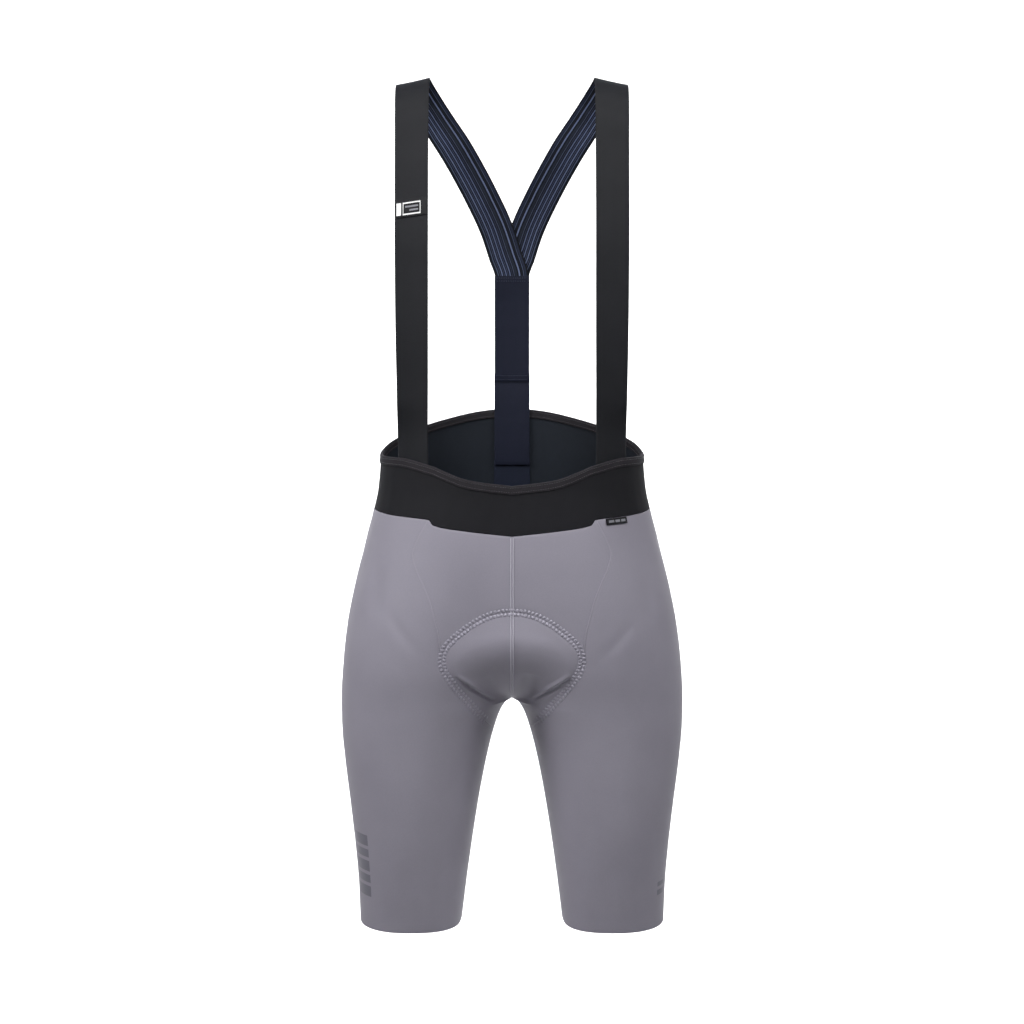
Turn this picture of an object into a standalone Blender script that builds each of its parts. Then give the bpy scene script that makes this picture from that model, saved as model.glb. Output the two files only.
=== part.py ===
# Cycling bib shorts, filled out as on a wearer: a hollow trunk and legs, a waistband with a folded binding, two
# shoulder straps that meet in a Y at the back, a seat pad, a label and a tag.
#
# Metres. +Z is up, the front faces -Y, and +X is the wearer's left. The origin is midway between the tops of the
# shoulder straps, where the wearer's shoulders carry them.
# "drop" is a depth below the origin.
# "turn" runs round the trunk or a leg: 0 at the centre front or inseam, 1 at the wearer's left side, 2 at the
# centre back. From 2 to 4, and below 0, it is the wearer's right half, mirrored.
# "level" runs down the panels: 0 at the foot of the waistband, 1 at the crotch, 2 at the hem.

import math

import bmesh
import bpy
import numpy as np

# Cloth
LEG_CLOTH = 0.0012
BAND_CLOTH = 0.0018
TAPE_CLOTH = 0.0008
STRAP_CLOTH = 0.0014
PATCH_CLOTH = 0.0010
PAD_THICK = 0.0060
PAD_INSET = 0.0016
GAP = 0.0003
HALF_GAP = GAP / 2
SEAM_TURN = 0.0008

# Trunk and legs
CROTCH_DROP = 0.6708
HEM_DROP = 0.9222
CROTCH_FORWARD = -0.008
FRONT_RISE = 0.078
BACK_RISE = 0.105
LEG_PARTING = 0.0564
PARTING_POWER = 0.53
SECTION_COLUMNS = ("drop", "side", "front", "back", "front_crest", "back_crest")
SECTIONS = (
    (0.3500, 0.1430, 0.1030, 0.0975, 0.018, 0.018),
    (0.4000, 0.1440, 0.1040, 0.0990, 0.018, 0.018),
    (0.4400, 0.1472, 0.1060, 0.1020, 0.020, 0.024),
    (0.4650, 0.1525, 0.1080, 0.1060, 0.024, 0.032),
    (0.4900, 0.1587, 0.1100, 0.1120, 0.030, 0.042),
    (0.5200, 0.1665, 0.1115, 0.1190, 0.040, 0.055),
    (0.5500, 0.1738, 0.1120, 0.1245, 0.054, 0.068),
    (0.5900, 0.1815, 0.1105, 0.1275, 0.072, 0.080),
    (0.6300, 0.1862, 0.1065, 0.1220, 0.085, 0.088),
    (0.6708, 0.1887, 0.0990, 0.1060, 0.094, 0.095),
    (0.7000, 0.1883, 0.0950, 0.0965, 0.100, 0.100),
    (0.7400, 0.1850, 0.0905, 0.0865, 0.105, 0.105),
    (0.7900, 0.1790, 0.0845, 0.0780, 0.108, 0.108),
    (0.8400, 0.1735, 0.0765, 0.0720, 0.110, 0.110),
    (0.8800, 0.1703, 0.0690, 0.0670, 0.111, 0.111),
    (0.9222, 0.1688, 0.0605, 0.0620, 0.1125, 0.1125),
)
SIDE_ROUNDNESS = 2.15
INNER_ROUNDNESS = 2
INNER_FULLNESS = 0.6
LEGS_START_DROP = 0.52

# The pad's mound on the front
MOUND_HEIGHT = 0.009
MOUND_WIDTH = 0.082
MOUND_DROP = 0.616
MOUND_REACH = CROTCH_DROP - MOUND_DROP

# The band's edges round one half
BAND_COLUMNS = ("turn", "top", "foot")
BAND_EDGES = (
    (0.000, 0.4323, 0.4855),
    (0.200, 0.4265, 0.4803),
    (0.363, 0.4147, 0.4746),
    (0.392, 0.4125, 0.4688),
    (0.630, 0.4043, 0.4660),
    (0.850, 0.4038, 0.4632),
    (1.000, 0.4015, 0.4612),
    (1.250, 0.3895, 0.4595),
    (1.620, 0.3685, 0.4570),
    (1.870, 0.3573, 0.4560),
    (2.000, 0.3550, 0.4558),
)
TAPE_DEPTH = 0.0095
FOLD_DOWN = 0.0005
FOLD_IN = 0.0007

# The side-front seam and the pad's outline, as half widths across the front
SEAM_COLUMNS = ("drop", "x")
FRONT_SEAM = (
    (0.4688, 0.0885),
    (0.4899, 0.0997),
    (0.5057, 0.1050),
    (0.5194, 0.1015),
    (0.5353, 0.0944),
    (0.5532, 0.0872),
    (0.5743, 0.0815),
    (0.5930, 0.0770),
    (0.6145, 0.0745),
    (0.6350, 0.0680),
    (0.6520, 0.0567),
    (0.6650, 0.0462),
    (0.6775, 0.0368),
    (0.6900, 0.0285),
    (0.7040, 0.0198),
)
PAD_FRONT = (
    (0.5655, 0.0080),
    (0.5705, 0.0270),
    (0.5855, 0.0505),
    (0.6030, 0.0680),
    (0.6145, 0.0720),
    (0.6350, 0.0655),
    (0.6520, 0.0545),
    (0.6650, 0.0440),
    (0.6775, 0.0350),
    (0.6950, 0.0250),
)
PAD_BACK = (
    (0.5600, 0.0300),
    (0.5800, 0.0560),
    (0.6100, 0.0700),
    (0.6400, 0.0640),
    (0.6708, 0.0420),
    (0.6950, 0.0250),
)

# Straps
STRAP_WIDTH = 0.040
SHOULDER_RADIUS = 0.045
SHOULDER_SWEEP = math.radians(78)
SHOULDER_X = 0.107
SHOULDER_SLOPE = math.tan(math.radians(12.5))
SHOULDER_DEPTH = SHOULDER_RADIUS * (1 - math.cos(SHOULDER_SWEEP))
LAYER = STRAP_CLOTH + 0.0005
BAND_INSET = 0.0052
CROSSING_SOFTNESS = 0.02
HOLLOW_START = 0.08
LAYER_START = 0.12
MEETS_BAND = {"front": 0.348, "back": 0.310}
MEETS_BAND_OVER = 0.05
BAND_TOP_DROP = 0.35
STRAP_COLUMNS = ("drop", "x", "forward", "slant", "yaw", "width")
FRONT_STRAP = (
    (0.000, 0.1070, 0.0000, 12.5, 0.00, 0.0366),
    (0.036, 0.1068, 0.0445, 10.0, 0.02, 0.0362),
    (0.070, 0.1066, 0.0545, 5.0, 0.05, 0.0358),
    (0.120, 0.1064, 0.0655, 1.0, 0.08, 0.0356),
    (0.190, 0.1062, 0.0755, 0.0, 0.14, 0.0354),
    (0.270, 0.1058, 0.0785, 0.0, 0.24, 0.0347),
    (0.340, 0.1054, 0.0760, 0.0, 0.38, 0.0334),
    (0.400, 0.1050, 0.0690, 0.0, 0.66, 0.0325),
    (0.455, 0.1045, 0.0700, 0.0, 0.70, 0.0325),
)
BACK_STRAP = (
    (0.000, 0.1070, 0.0000, 12.5, 0.00, 0.0368),
    (0.036, 0.0832, 0.0445, 17.0, 0.00, 0.0372),
    (0.073, 0.0589, 0.0550, 29.0, 0.00, 0.0370),
    (0.125, 0.0304, 0.0680, 28.5, 0.00, 0.0372),
    (0.154, 0.0172, 0.0740, 24.0, 0.00, 0.0374),
    (0.181, 0.0082, 0.0790, 18.0, 0.00, 0.0374),
    (0.206, 0.0004, 0.0825, 6.0, 0.00, 0.0374),
    (0.215, 0.0000, 0.0835, 0.0, 0.00, 0.0374),
    (0.260, 0.0000, 0.0875, 0.0, 0.00, 0.0400),
    (0.360, 0.0000, 0.0920, 0.0, 0.00, 0.0400),
)
BACK_HOLLOW = 1.2
UPPER_BACK = (0.2055, 0.3245)
UPPER_BACK_NARROWER = 0.0004
LOWER_BACK = (0.3155, 0.4195)
LAP_END = 0.326
LAP_EASE = 0.02
ANCHOR_PATCH = (0.4120, 0.4520)
ANCHOR_PATCH_TURNS = (1.91, 2.09)
LABEL_DROPS = (0.1315, 0.1490)
LABEL_RISE = 0.0022
TAG_TURNS = (0.447, 0.582)
TAG_DEPTH = 0.0068
TAG_BELOW_BAND = 0.0002
TAG_PROUD = 0.0006

# Faceting, and how near two places count as one
UPPER_LEVELS = 12
LOWER_LEVELS = 10
FRONT_SHARES = (0, 0.25, 0.5, 0.72, 0.895, 1)
LEG_FRONT_COLUMNS = 9
LEG_BACK_COLUMNS = 11
BAND_ROWS = 4
ROW_CROWDING = 0.8
TONGUE_LEVEL = 1.3
PAD_LEVELS = (0.49, 1.25)
FRONT_STRAP_DROPS = (
    0.455,
    0.435,
    0.415,
    0.400,
    0.380,
    0.350,
    0.310,
    0.265,
    0.220,
    0.175,
    0.135,
    0.100,
    0.070,
    0.050,
)
SHOULDER_ROWS = 12
BACK_STRAP_DROPS = (0.050, 0.064, 0.080, 0.098, 0.116, 0.134, 0.152, 0.170, 0.188, 0.202, 0.214)
STRAP_SHARES = (-1, -0.34, 0.34, 1)
LABEL_SHARES = (-0.93, -0.34, 0.34, 0.93)
BACK_COLUMNS = 5
UPPER_BACK_ROWS = 9
LOWER_BACK_ROWS = 11
PATCH_ROWS = 4
LABEL_ROWS = 3
TAG_COLUMNS = 4
TAG_ROWS = 3
LEAST_SEAM_TURN = 0.012
LEAST_PAD_TURN = 0.03
NEAR_LEVEL = 0.001
NEAR_CENTRE_TURN = 0.002
NEAR_INSEAM_TURN = 0.0001
NEAR_CROTCH_TURN = 0.02
NEAR_CROTCH_DROP = 0.0005
SLOPE_DROP = 0.0004
SLOPE_TURN = 0.004
SLOPE_ACROSS = 0.001
HALVINGS = 40
WELD = 0.00002
SHARP_EDGE = math.radians(40)

FINISH_COLUMNS = ("colour", "roughness")
FINISHES = {
    "leg_knit": ((0.255, 0.246, 0.287, 1), 0.55),
    "band": ((0.014, 0.015, 0.018, 1), 0.80),
    "tape": ((0.028, 0.026, 0.030, 1), 0.70),
    "strap": ((0.017, 0.018, 0.022, 1), 0.75),
    "back_strap": ((0.012, 0.014, 0.026, 1), 0.75),
    "pad": ((0.060, 0.060, 0.066, 1), 0.90),
    "label": ((0.010, 0.010, 0.012, 1), 0.75),
}


def smooth_line(knots, values):
    """A curve through the values that doesn't overshoot between two of them."""
    knots = np.array(knots, float)
    values = np.array(values, float)
    steps = np.diff(knots)
    slopes = np.diff(values) / steps
    tangents = np.concatenate([slopes[:1], np.zeros(len(slopes) - 1), slopes[-1:]])
    rising = slopes[:-1] * slopes[1:] > 0
    total = np.where(rising, slopes[:-1] + slopes[1:], 1)
    tangents[1:-1] = np.where(rising, 2 * slopes[:-1] * slopes[1:] / total, 0)

    def at(place):
        place = np.clip(place, knots[0], knots[-1])
        i = np.clip(np.searchsorted(knots, place, "right") - 1, 0, len(steps) - 1)
        u = (place - knots[i]) / steps[i]
        rise = values[i + 1] - values[i]
        bend = steps[i] * (tangents[i] * u * (1 - u) ** 2 - tangents[i + 1] * u * u * (1 - u))
        return values[i] + rise * u * u * (3 - 2 * u) + bend

    return at


def lines_of(columns, rows):
    """One smooth line for each column after the first, by the column's name."""
    table = np.array(rows)
    return {
        name: smooth_line(table[:, 0], table[:, i])
        for i, name in enumerate(columns)
        if i > 0
    }


section = lines_of(SECTION_COLUMNS, SECTIONS)
band_edge = lines_of(BAND_COLUMNS, BAND_EDGES)
front_seam = lines_of(SEAM_COLUMNS, FRONT_SEAM)["x"]
pad_front = lines_of(SEAM_COLUMNS, PAD_FRONT)["x"]
pad_back = lines_of(SEAM_COLUMNS, PAD_BACK)["x"]
front_strap = lines_of(STRAP_COLUMNS, FRONT_STRAP)
back_strap = lines_of(STRAP_COLUMNS, BACK_STRAP)


def ease(value):
    value = np.clip(value, 0, 1)
    return value * value * (3 - 2 * value)


def leg_inner(drop):
    """How far the inseam stands from the centre plane: 0 above the crotch, then a narrow arch."""
    below = np.clip((drop - CROTCH_DROP) / (HEM_DROP - CROTCH_DROP), 0, None)
    return LEG_PARTING * below**PARTING_POWER


def reach(x, drop, side_name):
    """How far the trunk or leg reaches forward or back at a place across it.

    Between the centre and the crest it sinks towards the crotch, in a valley that closes over the rise. Outside the
    crest it rounds away to the side.
    """
    forward = side_name == "front"
    root = CROTCH_FORWARD if forward else -CROTCH_FORWARD
    rise = FRONT_RISE if forward else BACK_RISE
    side = section["side"](drop)
    crest = section[side_name + "_crest"](drop)
    most = section[side_name](drop)
    inner = leg_inner(drop)
    share = np.clip((x - inner) / (crest - inner), 0, 1)
    height = np.clip((CROTCH_DROP - drop) / rise, 0, 1)
    away = np.sqrt(share**2 * (1 - height**2) + height**2)
    down_leg = np.clip((drop - CROTCH_DROP) / (HEM_DROP - CROTCH_DROP), 0, 1)
    fuller = INNER_ROUNDNESS + INNER_FULLNESS * down_leg
    sunk = 1 - np.clip(1 - (1 - away) ** fuller, 0, 1) ** (1 / fuller)
    outside = np.clip((x - crest) / (side - crest), 0, 1)
    rounded = (1 - outside**SIDE_ROUNDNESS) ** (1 / SIDE_ROUNDNESS)
    depth = np.where(x < crest, most - (most - root) * sunk, root + (most - root) * rounded)
    if forward:
        across = (x / MOUND_WIDTH) ** 2 + ((drop - MOUND_DROP) / MOUND_REACH) ** 2
        depth = depth + MOUND_HEIGHT * np.clip(1 - across, 0, 1) ** 2
    return depth


def body_point(drop, turn):
    """A point of the outer face of the wearer's left half, turn 0 to 2."""
    drop, turn = np.broadcast_arrays(np.array(drop, float), np.array(turn, float))
    part = np.where(turn <= 1, turn, 2 - turn)
    leg_like = ease((drop - LEGS_START_DROP) / (CROTCH_DROP - LEGS_START_DROP))
    trunk_share = np.sin(math.pi / 2 * part)
    leg_share = (1 - np.cos(math.pi * part)) / 2
    inner = leg_inner(drop)
    spread = trunk_share + (leg_share - trunk_share) * leg_like
    x = inner + (section["side"](drop) - inner) * spread
    y = np.where(turn <= 1, -reach(x, drop, "front"), reach(x, drop, "back"))
    return np.stack([x, y, -drop], axis=-1)


def body_normal(drop, turn):
    """The outward direction at a point of the left half."""
    drop, turn = np.broadcast_arrays(np.array(drop, float), np.array(turn, float))
    above = drop <= CROTCH_DROP
    low = np.where(above, np.minimum(drop + SLOPE_DROP, CROTCH_DROP), drop + SLOPE_DROP)
    high = np.where(above, drop - SLOPE_DROP, np.maximum(drop - SLOPE_DROP, CROTCH_DROP))
    along = body_point(low, turn) - body_point(high, turn)
    first = np.clip(turn - SLOPE_TURN, 0, 2)
    last = np.clip(turn + SLOPE_TURN, 0, 2)
    round_it = body_point(drop, last) - body_point(drop, first)
    normal = np.cross(along, round_it)
    from_centre = np.minimum(turn, 2 - turn)
    at_centre = (from_centre < NEAR_CENTRE_TURN) & (drop < CROTCH_DROP)
    normal[at_centre, 0] = 0
    on_inseam = (from_centre < NEAR_INSEAM_TURN) & (drop > CROTCH_DROP)
    normal[on_inseam, 1] = 0
    saddle = (from_centre < NEAR_CROTCH_TURN) & (np.abs(drop - CROTCH_DROP) < NEAR_CROTCH_DROP)
    normal[saddle] = (0, 0, -1)
    return normal / np.linalg.norm(normal, axis=-1, keepdims=True)


def folded(turn):
    """The same place on the wearer's left half."""
    return np.where(turn < 0, -turn, np.where(turn > 2, 4 - turn, turn))


def ring(drop, turn):
    """Point and outward direction anywhere round the trunk: below 0 and past 2 is the right half."""
    drop, turn = np.broadcast_arrays(np.array(drop, float), np.array(turn, float))
    point = body_point(drop, folded(turn))
    normal = body_normal(drop, folded(turn))
    flip = np.where((turn < 0) | (turn > 2), -1.0, 1.0)
    point[..., 0] *= flip
    normal[..., 0] *= flip
    return point, normal


def level_drop(level, turn):
    """The drop of a row of the panels. Rows crowd at the crotch on the centre line and are even at the side."""
    centre = np.cos(math.pi / 2 * turn) ** 2
    if level <= 1:
        start = band_edge["foot"](turn) + HALF_GAP
        share = level + centre * ((1 - (1 - level) ** 2) - level)
        return start + (CROTCH_DROP - start) * share
    down = level - 1
    share = down + ROW_CROWDING * centre * (down * down - down)
    return CROTCH_DROP + (HEM_DROP - CROTCH_DROP) * share


def turn_at(level, outline, back=False):
    """How far round from the centre line, on a row, the half width reaches an outline."""
    low, high = 0.0, 1.0
    for _ in range(HALVINGS):
        middle = (low + high) / 2
        turn = 2 - middle if back else middle
        drop = level_drop(level, turn)
        if body_point(drop, turn)[..., 0] > outline(drop):
            high = middle
        else:
            low = middle
    return (low + high) / 2


def solid(name, outer, inner):
    """A closed mesh between two grids of points, each cell split along its shorter diagonal."""
    rows, columns = outer.shape[:2]
    mesh = bmesh.new()
    grids = []
    for points in (outer, inner):
        flat = [mesh.verts.new(point) for point in points.reshape(-1, 3)]
        grids.append([flat[r * columns:(r + 1) * columns] for r in range(rows)])
    for face in grids:
        for r in range(rows - 1):
            for c in range(columns - 1):
                near = np.linalg.norm(outer[r, c] - outer[r + 1, c + 1])
                far = np.linalg.norm(outer[r, c + 1] - outer[r + 1, c])
                a, b, e, f = face[r][c], face[r][c + 1], face[r + 1][c + 1], face[r + 1][c]
                pairs = ((a, b, e), (a, e, f)) if near <= far else ((a, b, f), (b, e, f))
                for corners in pairs:
                    mesh.faces.new(corners)
    rim = [(0, c) for c in range(columns)]
    rim += [(r, columns - 1) for r in range(1, rows)]
    rim += [(rows - 1, c) for c in range(columns - 2, -1, -1)]
    rim += [(r, 0) for r in range(rows - 2, 0, -1)]
    for (r, c), (s, d) in zip(rim, rim[1:] + rim[:1]):
        mesh.faces.new((grids[0][r][c], grids[0][s][d], grids[1][s][d], grids[1][r][c]))
    return finish(name, mesh)


def finish(name, mesh):
    """Turns a bmesh into a named object with its faces pointing out."""
    bmesh.ops.recalc_face_normals(mesh, faces=mesh.faces)
    data = bpy.data.meshes.new(name)
    mesh.to_mesh(data)
    mesh.free()
    data.shade_smooth()
    data.set_sharp_from_angle(angle=SHARP_EDGE)
    made = bpy.data.objects.new(name, data)
    bpy.context.scene.collection.objects.link(made)
    return made


def wall(name, points, normals, thickness, lift=0.0):
    """A cloth wall: its outer face is the grid moved out by lift, its inner face lies thickness below that."""
    outer = points + normals * lift
    return solid(name, outer, outer - normals * thickness)


def mirrored(grid):
    return grid * np.array([-1.0, 1.0, 1.0])


def paint(made, name):
    material = bpy.data.materials.get(name)
    if material is None:
        look = dict(zip(FINISH_COLUMNS, FINISHES[name]))
        material = bpy.data.materials.new(name)
        material.use_nodes = True
        shader = material.node_tree.nodes["Principled BSDF"]
        shader.inputs["Base Color"].default_value = look["colour"]
        shader.inputs["Roughness"].default_value = look["roughness"]
    made.data.materials.append(material)
    return made


def panel_levels():
    upper = np.linspace(0, 1, UPPER_LEVELS + 1)
    lower = 1 + np.linspace(0, 1, LOWER_LEVELS + 1)[1:]
    return np.concatenate([upper, lower])


def panel_grid(levels, turns_of):
    """Points and directions of a panel: turns_of(level) lists the turns of its columns on that row."""
    points, normals = [], []
    for level in levels:
        turns = np.array(turns_of(level))
        drops = level_drop(level, turns)
        point = body_point(drops, turns)
        point[:, 0] += HALF_GAP
        points.append(point)
        normals.append(body_normal(drops, turns))
    return np.array(points), np.array(normals)


def seam_turn(level):
    if level > TONGUE_LEVEL + NEAR_LEVEL:
        return 0.0
    return max(turn_at(level, front_seam), LEAST_SEAM_TURN)


def inseam_start(level):
    return SEAM_TURN if level > 1 - NEAR_LEVEL else 0.0


def front_turns(level):
    start, end = inseam_start(level), seam_turn(level) - SEAM_TURN
    return [start + (end - start) * share for share in FRONT_SHARES]


def leg_turns(level):
    seam = seam_turn(level)
    start = seam + SEAM_TURN
    front = np.linspace(start, 1, LEG_FRONT_COLUMNS + 1)
    back = np.linspace(1, 2 - inseam_start(level), LEG_BACK_COLUMNS + 1)[1:]
    return np.concatenate([front, back])


def build_panels():
    levels = panel_levels()
    tongue = levels[levels < TONGUE_LEVEL + NEAR_LEVEL]
    for panel, rows, turns in (("front_panel", tongue, front_turns), ("leg_panel", levels, leg_turns)):
        points, normals = panel_grid(rows, turns)
        paint(wall(panel + "_left", points, normals, LEG_CLOTH), "leg_knit")
        right = wall(panel + "_right", mirrored(points), mirrored(normals), LEG_CLOTH)
        paint(right, "leg_knit")


def band_turns():
    """Columns of the band's front and back, in line with those of the panels below it."""
    half = list(front_turns(0)) + list(leg_turns(0))[1:]
    side = 1 - SEAM_TURN
    front = [turn for turn in half if turn < side] + [side]
    back = [2 - side] + [turn for turn in half if 2 - side < turn < 2]
    front_all = [-turn for turn in reversed(front[1:])] + front
    back_all = back + [2.0] + [4 - turn for turn in reversed(back)]
    return np.array(front_all), np.array(back_all)


def build_band():
    for name, turns in zip(("front", "back"), band_turns()):
        half = folded(turns)
        top = band_edge["top"](half)
        foot = band_edge["foot"](half)
        start = top + TAPE_CLOTH + GAP
        rows = [start + (foot - HALF_GAP - start) * i / BAND_ROWS for i in range(BAND_ROWS + 1)]
        grids = [ring(row, turns) for row in rows]
        points = np.array([grid[0] for grid in grids])
        normals = np.array([grid[1] for grid in grids])
        paint(wall("waistband_" + name, points, normals, BAND_CLOTH), "band")
        build_binding("binding_" + name, turns, top)


def build_binding(name, turns, top):
    """Tape folded over the band's top edge: (outward, down) corners of its section, carried round the band."""
    outside = GAP + TAPE_CLOTH
    inside = -BAND_CLOTH - GAP - TAPE_CLOTH
    corners = (
        (outside, TAPE_DEPTH),
        (outside, FOLD_DOWN),
        (outside - FOLD_IN, 0),
        (inside + FOLD_IN, 0),
        (inside, FOLD_DOWN),
        (inside, TAPE_DEPTH),
        (inside + TAPE_CLOTH, TAPE_DEPTH),
        (inside + TAPE_CLOTH, TAPE_CLOTH),
        (GAP, TAPE_CLOTH),
        (GAP, TAPE_DEPTH),
    )
    loops = []
    for out, down in corners:
        point, normal = ring(top + down, turns)
        loops.append(point + normal * out)
    loops = np.array(loops)
    mesh = bmesh.new()
    rings_of = [[mesh.verts.new(loops[k, c]) for k in range(len(corners))] for c in range(len(turns))]
    for one, two in zip(rings_of[:-1], rings_of[1:]):
        for k in range(len(corners)):
            j = (k + 1) % len(corners)
            mesh.faces.new((one[k], one[j], two[j], two[k]))
    mesh.faces.new(rings_of[0])
    mesh.faces.new(rings_of[-1])
    paint(finish(name, mesh), "tape")


def strap_forward(x, drop, back, layer):
    """How far a strap's body side lies forward of the origin, or behind it when back is set.

    It rounds over the shoulder, follows a plain upper body, and ends flat inside the waistband.
    """
    lines = back_strap if back else front_strap
    across = np.sqrt(x * x + CROSSING_SOFTNESS**2)
    below = np.clip(drop - SHOULDER_SLOPE * (across - SHOULDER_X), 0, None)
    arc = np.sqrt(np.clip(SHOULDER_RADIUS**2 - (SHOULDER_RADIUS - below) ** 2, 0, None))
    free = np.where(below < SHOULDER_DEPTH, arc, lines["forward"](below))
    if back:
        free = free - BACK_HOLLOW * x * x * ease(below / HOLLOW_START)
        free = free + layer * LAYER * ease(below / LAYER_START)
    else:
        free = free - lines["yaw"](drop) * (np.abs(x) - lines["x"](drop))
    side_name = "back" if back else "front"
    band_drop = np.maximum(drop, BAND_TOP_DROP)
    wide = np.abs(x)
    outer = reach(wide + SLOPE_ACROSS, band_drop, side_name)
    inner = reach(wide - SLOPE_ACROSS, band_drop, side_name)
    tilt = (outer - inner) / (2 * SLOPE_ACROSS)
    at_band = reach(wide, band_drop, side_name) - BAND_INSET * np.sqrt(1 + tilt * tilt)
    return free + (at_band - free) * ease((drop - MEETS_BAND[side_name]) / MEETS_BAND_OVER)


def strap_rows():
    """(drop, back) of the rows of a shoulder strap, from inside the band, over the shoulder, to the Y."""
    rows = [(drop, False) for drop in FRONT_STRAP_DROPS]
    for angle in np.linspace(-SHOULDER_SWEEP, SHOULDER_SWEEP, SHOULDER_ROWS):
        rows.append((SHOULDER_RADIUS * (1 - math.cos(angle)), angle > 0))
    return rows + [(drop, True) for drop in BACK_STRAP_DROPS]


def strap_grid(rows, side, shares=STRAP_SHARES, layer=0):
    """Points of a strap's body side. shares run from its inner to its outer edge, side is 1 or -1."""
    grid = []
    for drop, back in rows:
        lines = back_strap if back else front_strap
        slant = math.radians(float(lines["slant"](drop)))
        half = float(lines["width"](drop)) / 2
        line = []
        for share in shares:
            if back:
                x = float(lines["x"](drop)) + share * half * math.cos(slant)
                low = drop + share * half * math.sin(slant)
            else:
                x = float(lines["x"](drop)) + share * half
                low = drop + share * half * math.tan(slant)
            forward = float(strap_forward(x, low, back, layer))
            line.append((side * x, forward if back else -forward, -low))
        grid.append(line)
    return np.array(grid)


def grid_normals(grid, flip):
    """Directions square to a grid, on the side away from the wearer."""
    along = np.gradient(grid, axis=0)
    across = np.gradient(grid, axis=1)
    normals = np.cross(across, along) * flip
    return normals / np.linalg.norm(normals, axis=-1, keepdims=True)


def strip(name, grid, thickness, colour, flip=1, lift=0.0):
    """A strap or patch whose body side is the grid, moved out by lift."""
    normals = grid_normals(grid, flip)
    return paint(wall(name, grid, normals, thickness, lift + thickness), colour)


def back_grid(span, rows, half, layer_of):
    """Points of a strap on the centre line of the back."""
    drops = np.linspace(span[0], span[1], rows)
    places = np.linspace(-half, half, BACK_COLUMNS)
    grid = []
    for drop in drops:
        forward = [float(strap_forward(x, drop, True, layer_of(drop))) for x in places]
        grid.append([(x, y, -drop) for x, y in zip(places, forward)])
    return np.array(grid)


def lap_layer(drop):
    """The lower back strap lies one layer out where it laps over the upper one."""
    return 1 - float(ease((drop - LAP_END) / LAP_EASE))


def build_straps():
    rows = strap_rows()
    for name, side, layer in (("left", 1, 2), ("right", -1, 1)):
        grid = strap_grid(rows, side, layer=layer)
        strip("shoulder_strap_" + name, grid, STRAP_CLOTH, "strap", flip=side)
    half = STRAP_WIDTH / 2
    upper = back_grid(UPPER_BACK, UPPER_BACK_ROWS, half - UPPER_BACK_NARROWER, lambda drop: 0)
    strip("back_strap_upper", upper, STRAP_CLOTH, "back_strap")
    lower = back_grid(LOWER_BACK, LOWER_BACK_ROWS, half, lap_layer)
    strip("back_strap_lower", lower, STRAP_CLOTH, "back_strap")


def build_anchor_patch():
    """The patch between the end of the back strap and the inside of the band."""
    drops = np.linspace(ANCHOR_PATCH[0], ANCHOR_PATCH[1], PATCH_ROWS)
    turns = np.linspace(ANCHOR_PATCH_TURNS[0], ANCHOR_PATCH_TURNS[1], BACK_COLUMNS)
    grids = [ring(drop, turns) for drop in drops]
    points = np.array([grid[0] for grid in grids])
    normals = np.array([grid[1] for grid in grids])
    patch = wall("strap_anchor_patch", points, normals, PATCH_CLOTH, -BAND_CLOTH - GAP)
    paint(patch, "back_strap")


def build_label():
    """The woven label lies across the wearer's right strap, a little higher at its inner end."""
    grid = []
    for middle in np.linspace(LABEL_DROPS[1], LABEL_DROPS[0], LABEL_ROWS):
        line = []
        for share, tilt in zip(LABEL_SHARES, STRAP_SHARES):
            drop = middle + LABEL_RISE * tilt
            line.append(strap_grid([(drop, False)], -1, shares=(share,), layer=1)[0, 0])
        grid.append(line)
    strip("strap_label", np.array(grid), TAPE_CLOTH, "label", flip=-1, lift=STRAP_CLOTH + GAP)


def build_tag():
    """The tag hangs from the foot of the band, on the left leg panel."""
    turns = np.linspace(TAG_TURNS[0], TAG_TURNS[1], TAG_COLUMNS)
    top = band_edge["foot"](turns) + HALF_GAP + TAG_BELOW_BAND
    points, normals = [], []
    for share in np.linspace(0, 1, TAG_ROWS):
        point, normal = ring(top + TAG_DEPTH * share, turns)
        points.append(point)
        normals.append(normal)
    tag = wall("waistband_tag", np.array(points), np.array(normals), TAPE_CLOTH, TAG_PROUD + TAPE_CLOTH)
    paint(tag, "label")


def pad_turns(level, outline, back):
    """The turns of the pad's columns on a row, from the centre line to its edge."""
    edge = max(turn_at(level, outline, back), LEAST_PAD_TURN)
    return np.array([2 - edge * share if back else edge * share for share in FRONT_SHARES])


def build_pad():
    """The seat pad: four patches that join on the centre line and the inseams, under the crotch."""
    mesh = bmesh.new()
    levels = [level for level in panel_levels() if PAD_LEVELS[0] < level < PAD_LEVELS[1]]
    for depth in (LEG_CLOTH + PAD_INSET, LEG_CLOTH + PAD_INSET + PAD_THICK):
        for outline, back in ((pad_front, False), (pad_back, True)):
            grid = []
            for level in levels:
                turns = pad_turns(level, outline, back)
                drops = level_drop(level, turns)
                grid.append(body_point(drops, turns) - body_normal(drops, turns) * depth)
            for half in (np.array(grid), mirrored(np.array(grid))):
                verts = [[mesh.verts.new(point) for point in row] for row in half]
                for one, two in zip(verts[:-1], verts[1:]):
                    for c in range(len(one) - 1):
                        mesh.faces.new((one[c], one[c + 1], two[c + 1], two[c]))
    bmesh.ops.remove_doubles(mesh, verts=mesh.verts, dist=WELD)
    rims = [edge for edge in mesh.edges if edge.is_boundary]
    bmesh.ops.bridge_loops(mesh, edges=rims)
    paint(finish("seat_pad", mesh), "pad")


for old in list(bpy.data.objects):
    bpy.data.objects.remove(old, do_unlink=True)
build_panels()
build_band()
build_straps()
build_anchor_patch()
build_label()
build_tag()
build_pad()
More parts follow.
